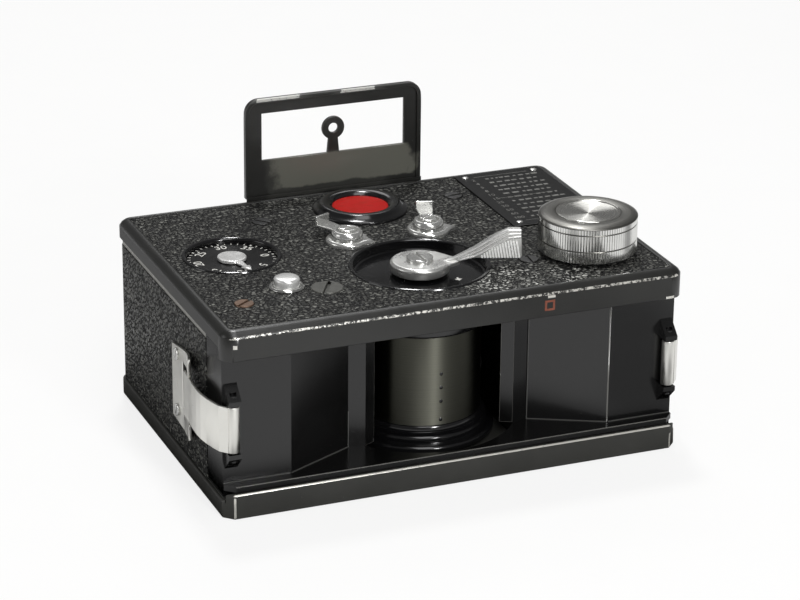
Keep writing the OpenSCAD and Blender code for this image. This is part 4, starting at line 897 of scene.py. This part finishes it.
class PANORAMIC_OT_speed_table(bpy.types.Operator):
    """Makes the speed table with its filled marks and rivets"""

    bl_idname = "panoramic.speed_table"
    bl_label = "Speed table"

    def execute(self, context):
        low, high, _ = place_of("speed_table")
        top, ink, pitch, inset = high.z, 0.03, 4.0, 3.2
        finish(rounded("speed_table", 0.15 * MM, top - 0.05),
               "table_plate", "chassis", "table_black", "table", "speed_table")
        rows = bmesh.new()
        dice = random.Random(7)
        for i, number in enumerate((2, 4, 5, 8, 10, 15, 25, 30, 50, 60, 100)):
            y = high.y - 6.5 - i * pitch
            numeral(rows, number, 2.7, Matrix.Translation(((low.x + 5) * MM, y * MM, (top + 0.02) * MM)))
            x = low.x + 9.5
            while x < high.x - 5:
                run = dice.uniform(0.8, 2.6)
                tall = dice.choice((0.5, 0.62))
                block((x, y - tall, top), (x + run, y + tall, top + ink), rows)
                x += run + dice.uniform(0.45, 1.5)
        for y in (high.y - 3.6, high.y - 26.4, low.y + 4.2):
            block((low.x + 6, y - 0.1, top), (high.x - 6, y + 0.1, top + ink), rows)
        finish(rows, "table_marks", "chassis", "table_black", "faint ink")
        studs = bmesh.new()
        dome = [(0, top), (1.2, top), (1.15, top + 0.25), (0.8, top + 0.45), (0, top + 0.5)]
        for x in (low.x + inset, high.x - inset):
            for y in (low.y + inset, high.y - inset):
                turned(dome, (x, y), 32, studs)
        finish(soften(studs, 0), "table_studs", "chassis", "chrome", "chrome", "table_rivets")
        return {"FINISHED"}


class PANORAMIC_OT_drum(bpy.types.Operator):
    """Dresses the lens drum, its flanges and the lens"""

    bl_idname = "panoramic.drum"
    bl_label = "Lens drum"

    def execute(self, context):
        axis = place_of("drum_base")[2]
        foot = place_of("drum_tube")[0].z
        bm = soften(copied("drum_tube"), 0)
        wall = finish(bm, "drum_wall", "drum", "body_paint", "drum", "drum_tube").data
        self.even_out(wall, axis)
        for node, name in (("drum_base", "drum_foot"), ("drum_top", "drum_head")):
            finish(soften(copied(node), 0, smooth=46),
                   name, "drum", "gloss_black", "gloss black", node, sharp=50)
        bore = 21.02
        collar = [(bore, foot), (22.6, foot), (22.6, foot + 1.2), (22.3, foot + 1.5), (21.9, foot + 1.6),
                  (21.8, foot + 2.4), (21.5, foot + 2.9), (bore, foot + 3.0), (bore, foot)]
        spun(collar, axis, "drum_collar", "drum", "gloss_black", "gloss black", steps=128)
        pins = bmesh.new()
        bearing, reach = math.radians(-91.3), 21.0
        outward = Matrix.Rotation(bearing, 4, "Z") @ Matrix.Rotation(math.pi / 2, 4, "Y")
        for height in (17.25, 23.85, 28.75, 33.65):
            head = turned([(0, 0.08), (0.55, 0.05), (0.75, -0.1)], (0, 0), 20)
            seat = Matrix.Translation(Vector((axis.x, axis.y, height)) * MM)
            bmesh.ops.transform(head, verts=head.verts,
                                matrix=seat @ outward @ Matrix.Translation((0, 0, reach * MM)))
            join(pins, head)
        finish(soften(pins, 0), "drum_pins", "drum", "gloss_black", "gloss black")
        paint_node("lens_barrel", "chamber")
        for node in ("front_lens", "rear_lens"):
            finish(soften(copied(node), 0), node + "_glass", "drum", "lens_glass", "lens", node)
        return {"FINISHED"}

    def even_out(self, wall, axis):
        """Lets the drum's round wall shade as one true cylinder, and leaves its other faces flat."""
        normals = []
        for face in wall.polygons:
            for corner in face.loop_indices:
                out = wall.vertices[wall.loops[corner].vertex_index].co / MM - axis
                out = Vector((out.x, out.y, 0)).normalized()
                normals.append(out if out.dot(face.normal) > 0.97 else face.normal.copy())
        wall.normals_split_custom_set(normals)


class PANORAMIC_OT_cocking_lever(bpy.types.Operator):
    """Makes the cocking lever, its ridged finger blade, its screw and its dish"""

    bl_idname = "panoramic.cocking_lever"
    bl_label = "Cocking lever"

    def execute(self, context):
        low, high, mid = place_of("lever_dish")
        r, skin, floor, bore = radius_of("lever_dish"), high.z - 0.5, low.z + 1, 4.4
        hub = skin + 1.8
        rim = from_corner(r, skin, (-0.6, 0), (0, 0), (-0.15, 0.38), (-0.45, 0.5), (-0.95, 0.5),
                          (-1.3, 0.36), (-1.55, 0.1), (-1.6, -0.5))
        cup = [(bore, low.z), (r - 0.6, low.z)] + rim
        cup += [(r - 1.8, floor + 0.3), (r - 2.4, floor), (bore, floor), (bore, low.z)]
        spun(cup, mid, "lever_well", "chassis", "gloss_black", "gloss black", "lever_dish", steps=128)
        low, high, _ = place_of("cocking_lever")
        finish(rounded("cocking_lever", sizes().thin_edge * 1.2, low.z + 1),
               "lever_arm", "drum", "chrome", "satin chrome", "cocking_lever")
        turn = Matrix.Translation((0, mid.y * MM, 0)) @ Matrix.Rotation(math.radians(-20), 4, "Z")
        # The blade's upper edge, as distance from the drum's axis and height.
        painted_slope_highlight = [(12.2, hub + 1.3)] + from_corner(
            0, high.z, (15, -8.2), (18, -6.65), (21, -4.65), (24.2, -2.52), (26.6, -1.32), (29.2, -0.1),
            (31, 0), (33.4, 0))
        self.rail(painted_slope_highlight, turn)
        self.ribs(painted_slope_highlight, turn, skin + 2.9)
        finish(rounded("lever_screw", 0.22 * MM, hub + 0.1),
               "lever_bolt", "drum", "chrome", "chrome", "lever_screw")
        arrow = cut_sheet([(8.6, -10.2), (10.2, -8.9), (9.2, -8.6), (9.3, -7.4), (8.7, -7.4), (8.6, -8.5),
                           (7.6, -8.6)], floor, floor + 0.04, (1.2, mid.y - 0.6))
        finish(arrow, "well_arrow", "chassis", "gloss_black", "ink")
        return {"FINISHED"}

    def rail(self, painted_slope_highlight, turn):
        """Three beads along the blade, below its upper edge, that part as the blade grows taller."""
        spread = [0.35, 0.8, 1.2, 1.45, 1.55, 1.45, 1.3, 1.2, 1.1]
        section = ((-1.2, 0.46), (-1.55, 0.4), (-1.72, 0.16), (-1.72, -0.16), (-1.55, -0.4), (-1.2, -0.46))
        rail = bmesh.new()
        for row in range(3):
            path = [(u, z - 0.42 - row * gap) for (u, z), gap in zip(painted_slope_highlight, spread)]
            u, z = path[0]
            bead = bmesh.new()
            face = bead.faces.new([bead.verts.new((u * MM, v * MM, (z + h) * MM)) for v, h in section])
            for old, new in zip(path, path[1:]):
                made = bmesh.ops.extrude_face_region(bead, geom=[face])["geom"]
                face = next(g for g in made if isinstance(g, bmesh.types.BMFace))
                bmesh.ops.translate(bead, verts=face.verts[:],
                                    vec=((new[0] - old[0]) * MM, 0, (new[1] - old[1]) * MM))
            bmesh.ops.recalc_face_normals(bead, faces=bead.faces)
            join(rail, bead)
        bmesh.ops.transform(rail, matrix=turn, verts=rail.verts)
        finish(soften(rail, 0, smooth=60), "lever_rail", "drum", "chrome", "hazed chrome", sharp=62)

    def ribs(self, painted_slope_highlight, turn, foot):
        """Slanting ribs on the blade's face, from its foot up to just below the beads."""
        first, pitch, count, wide, below = 19.4, 0.95, 15, 0.6, 4.0
        slant = Matrix.Shear("XY", 4, (-0.18, 0))
        ribs = bmesh.new()
        for i in range(count):
            u = first + i * pitch
            top = next(p[1] + (q[1] - p[1]) * (u - p[0]) / (q[0] - p[0]) for p, q in zip(painted_slope_highlight, painted_slope_highlight[1:])
                       if p[0] <= u <= q[0]) - below
            if top > foot + 0.3:
                spot = Matrix.Translation((u * MM, 0, foot * MM)) @ slant
                block((0, -1.62, 0), (wide, -1.2, top - foot), ribs, turn @ spot)
        finish(soften(ribs, 0.1 * MM, 40), "lever_ribs", "drum", "chrome", "ribbed chrome")


class PANORAMIC_OT_winding(bpy.types.Operator):
    """Makes the knurled winding knob with its turned face"""

    bl_idname = "panoramic.winding"
    bl_label = "Winding knob"

    def execute(self, context):
        low, high, mid = place_of("wind_knob")
        r, z0, z1 = radius_of("wind_knob"), low.z, high.z
        cap = radius_of("knob_cap")
        core = [(0, z0), (r - 1.6, z0), (r - 0.9, z0 + 0.3)]
        core += from_corner(r, z1, (-0.9, -1.2), (-0.1, -1.1), (0, -0.95), (-0.1, -0.78), (-0.8, -0.46),
                            (-1.5, -0.2), (-2.1, -0.05), (-2.4, 0))
        core += from_corner(cap, z1, (0.4, 0), (0.1, -0.15), (0.1, -0.8)) + [(0, z1 - 0.8)]
        spun(core, mid, "knob_core", "winder", "knob_chrome", "knob ring", "wind_knob", steps=128)
        self.knurl(mid, r, z0, z1 - z0)
        low, high, mid = place_of("knob_cap")
        top = high.z
        face = [(0, low.z), (cap, low.z)]
        face += from_corner(cap, top, (0, -0.1), (-0.12, 0.1), (-0.35, 0.2), (-0.6, 0.1), (-0.8, -0.2))
        face += [(cap * 0.75, top - 0.45), (cap * 0.5, top - 0.6), (cap * 0.25, top - 0.69), (0, top - 0.7)]
        spun(face, mid, "knob_face", "winder", "knob_chrome", "knob face", "knob_cap", steps=128)
        for node in ("wind_shaft", "wind_bush"):
            paint_node(node, "steel")
        return {"FINISHED"}

    def knurl(self, mid, r, foot, height):
        """Three knurled bands round the knob, each a ring of ridges closed above and below."""
        valley, ridge, inside = r - 0.4, r - 0.05, (r - 1.0) / r
        bands = bmesh.new()
        for start_share, end_share in ((0.02, 0.315), (0.35, 0.75), (0.785, 0.925)):
            z0, z1 = foot + height * start_share, foot + height * end_share
            ring = bmesh.new()
            verts = bmesh.ops.create_circle(ring, segments=2 * sizes().knurls, radius=valley * MM)["verts"]
            bmesh.ops.scale(ring, vec=(ridge / valley, ridge / valley, 1), verts=verts[::2])
            up = points_of(bmesh.ops.extrude_edge_only(ring, edges=ring.edges[:]))
            bmesh.ops.translate(ring, verts=ring.verts, vec=(0, 0, z0 * MM))
            bmesh.ops.translate(ring, verts=up, vec=(0, 0, (z1 - z0) * MM))
            for z in (z0, z1):
                loop = [e for e in ring.edges if all(abs(v.co.z / MM - z) < 0.01 for v in e.verts)]
                inner = points_of(bmesh.ops.extrude_edge_only(ring, edges=loop))
                bmesh.ops.scale(ring, vec=(inside, inside, 1), verts=inner)
            bmesh.ops.recalc_face_normals(ring, faces=ring.faces)
            bmesh.ops.translate(ring, verts=ring.verts, vec=(mid.x * MM, mid.y * MM, 0))
            join(bands, ring)
        finish(bands, "knob_knurl", "winder", "knob_chrome", "knob")


class PANORAMIC_OT_latches(bpy.types.Operator):
    """Dresses the side latches and their catches"""

    bl_idname = "panoramic.latches"
    bl_label = "Latches"

    def execute(self, context):
        thin, catch_face = sizes().thin_edge, 81
        for side, body in (("left", "latch_l"), ("right", "latch_r")):
            strip, catch = "latch_" + side, "catch_" + side
            finish(rounded(strip, thin), "latch_strip_" + side, body, "nickel", "nickel", strip)
            finish(rounded(catch, thin), "catch_plate_" + side, "shell", "nickel", "nickel", catch)
        bm = soften(copied("catch_screws"), 0.14 * MM, 40, lambda a, b: min(abs(a.x), abs(b.x)) > catch_face)
        finish(bm, "catch_bolts", "shell", "steel", "chrome", "catch_screws")
        paint_node("latch_pins", "black screw")
        return {"FINISHED"}


class PANORAMIC_OT_fasteners(bpy.types.Operator):
    """Dresses the screws of the top and the base, the tripod bush and the small painted mark"""

    bl_idname = "panoramic.fasteners"
    bl_label = "Fasteners"

    def execute(self, context):
        plate = place_of("top_leather")[0].z
        piece = finish(rounded("top_screws", 0.2 * MM, plate + 0.2),
                       "top_bolts", "chassis", "steel", "black screw", "top_screws")
        piece.data.materials.append(coat("brown screw"))
        for face in piece.data.polygons:
            if face.center.x < -50 * MM:
                face.material_index = 1
        paint_node("base_screws", "steel")
        paint_node("tripod_bush", "steel")
        front = place_of("top_cover")[0].y
        mark = bmesh.new()
        for x0, z0, x1, z1 in ((29.8, 57.1, 30.6, 60.7), (30.6, 60.0, 33.4, 60.7), (30.6, 57.1, 33.4, 57.8),
                               (32.7, 57.8, 33.4, 60.0)):
            block((x0, front - 0.06, z0), (x1, front + 0.1, z1), mark)
        finish(mark, "apron_index", "chassis", "cover_paint", "red mark")
        return {"FINISHED"}


class PANORAMIC_OT_inner_works(bpy.types.Operator):
    """Gives the pieces inside the body their finishes"""

    bl_idname = "panoramic.inner_works"
    bl_label = "Inner works"

    def execute(self, context):
        for name, nodes in (
                ("chamber", ("film_gate", "top_deck", "pressure_plate")),
                ("steel", ("pressure_spring", "sprocket")),
                ("brass", ("drum_bush_low", "drum_bush_top", "spring_barrel")),
                ("plastic", ("take_up_spool", "feed_spool")),
                ("tin", ("take_up_cassette", "feed_cassette"))):
            for node in nodes:
                paint_node(node, name)
        return {"FINISHED"}


OPERATORS = (
    PANORAMIC_OT_stage, PANORAMIC_OT_castings, PANORAMIC_OT_leather, PANORAMIC_OT_finder,
    PANORAMIC_OT_counter, PANORAMIC_OT_release, PANORAMIC_OT_level, PANORAMIC_OT_speed_controls,
    PANORAMIC_OT_speed_table, PANORAMIC_OT_drum, PANORAMIC_OT_cocking_lever, PANORAMIC_OT_winding,
    PANORAMIC_OT_latches, PANORAMIC_OT_fasteners, PANORAMIC_OT_inner_works)


class PANORAMIC_PT_panel(bpy.types.Panel):
    """Lists the pieces of the camera with their sizes and colours"""

    bl_idname = "PANORAMIC_PT_panel"
    bl_label = "Panoramic camera"
    bl_space_type = "VIEW_3D"
    bl_region_type = "UI"
    bl_category = "Camera"

    def draw(self, context):
        for group in (context.scene.camera_sizes, context.scene.camera_colours):
            for key in group.__annotations__:
                self.layout.prop(group, key)
        for operator in OPERATORS:
            self.layout.operator(operator.bl_idname)


CLASSES = (CameraSizes, CameraColours) + OPERATORS + (PANORAMIC_PT_panel,)


def register():
    for cls in CLASSES:
        bpy.utils.register_class(cls)
    bpy.types.Scene.camera_sizes = PointerProperty(type=CameraSizes)
    bpy.types.Scene.camera_colours = PointerProperty(type=CameraColours)


def unregister():
    del bpy.types.Scene.camera_colours
    del bpy.types.Scene.camera_sizes
    for cls in reversed(CLASSES):
        bpy.utils.unregister_class(cls)


def main():
    register()
    for operator in OPERATORS:
        group, name = operator.bl_idname.split(".")
        getattr(getattr(bpy.ops, group), name)()


if __name__ == "__main__":
    main()
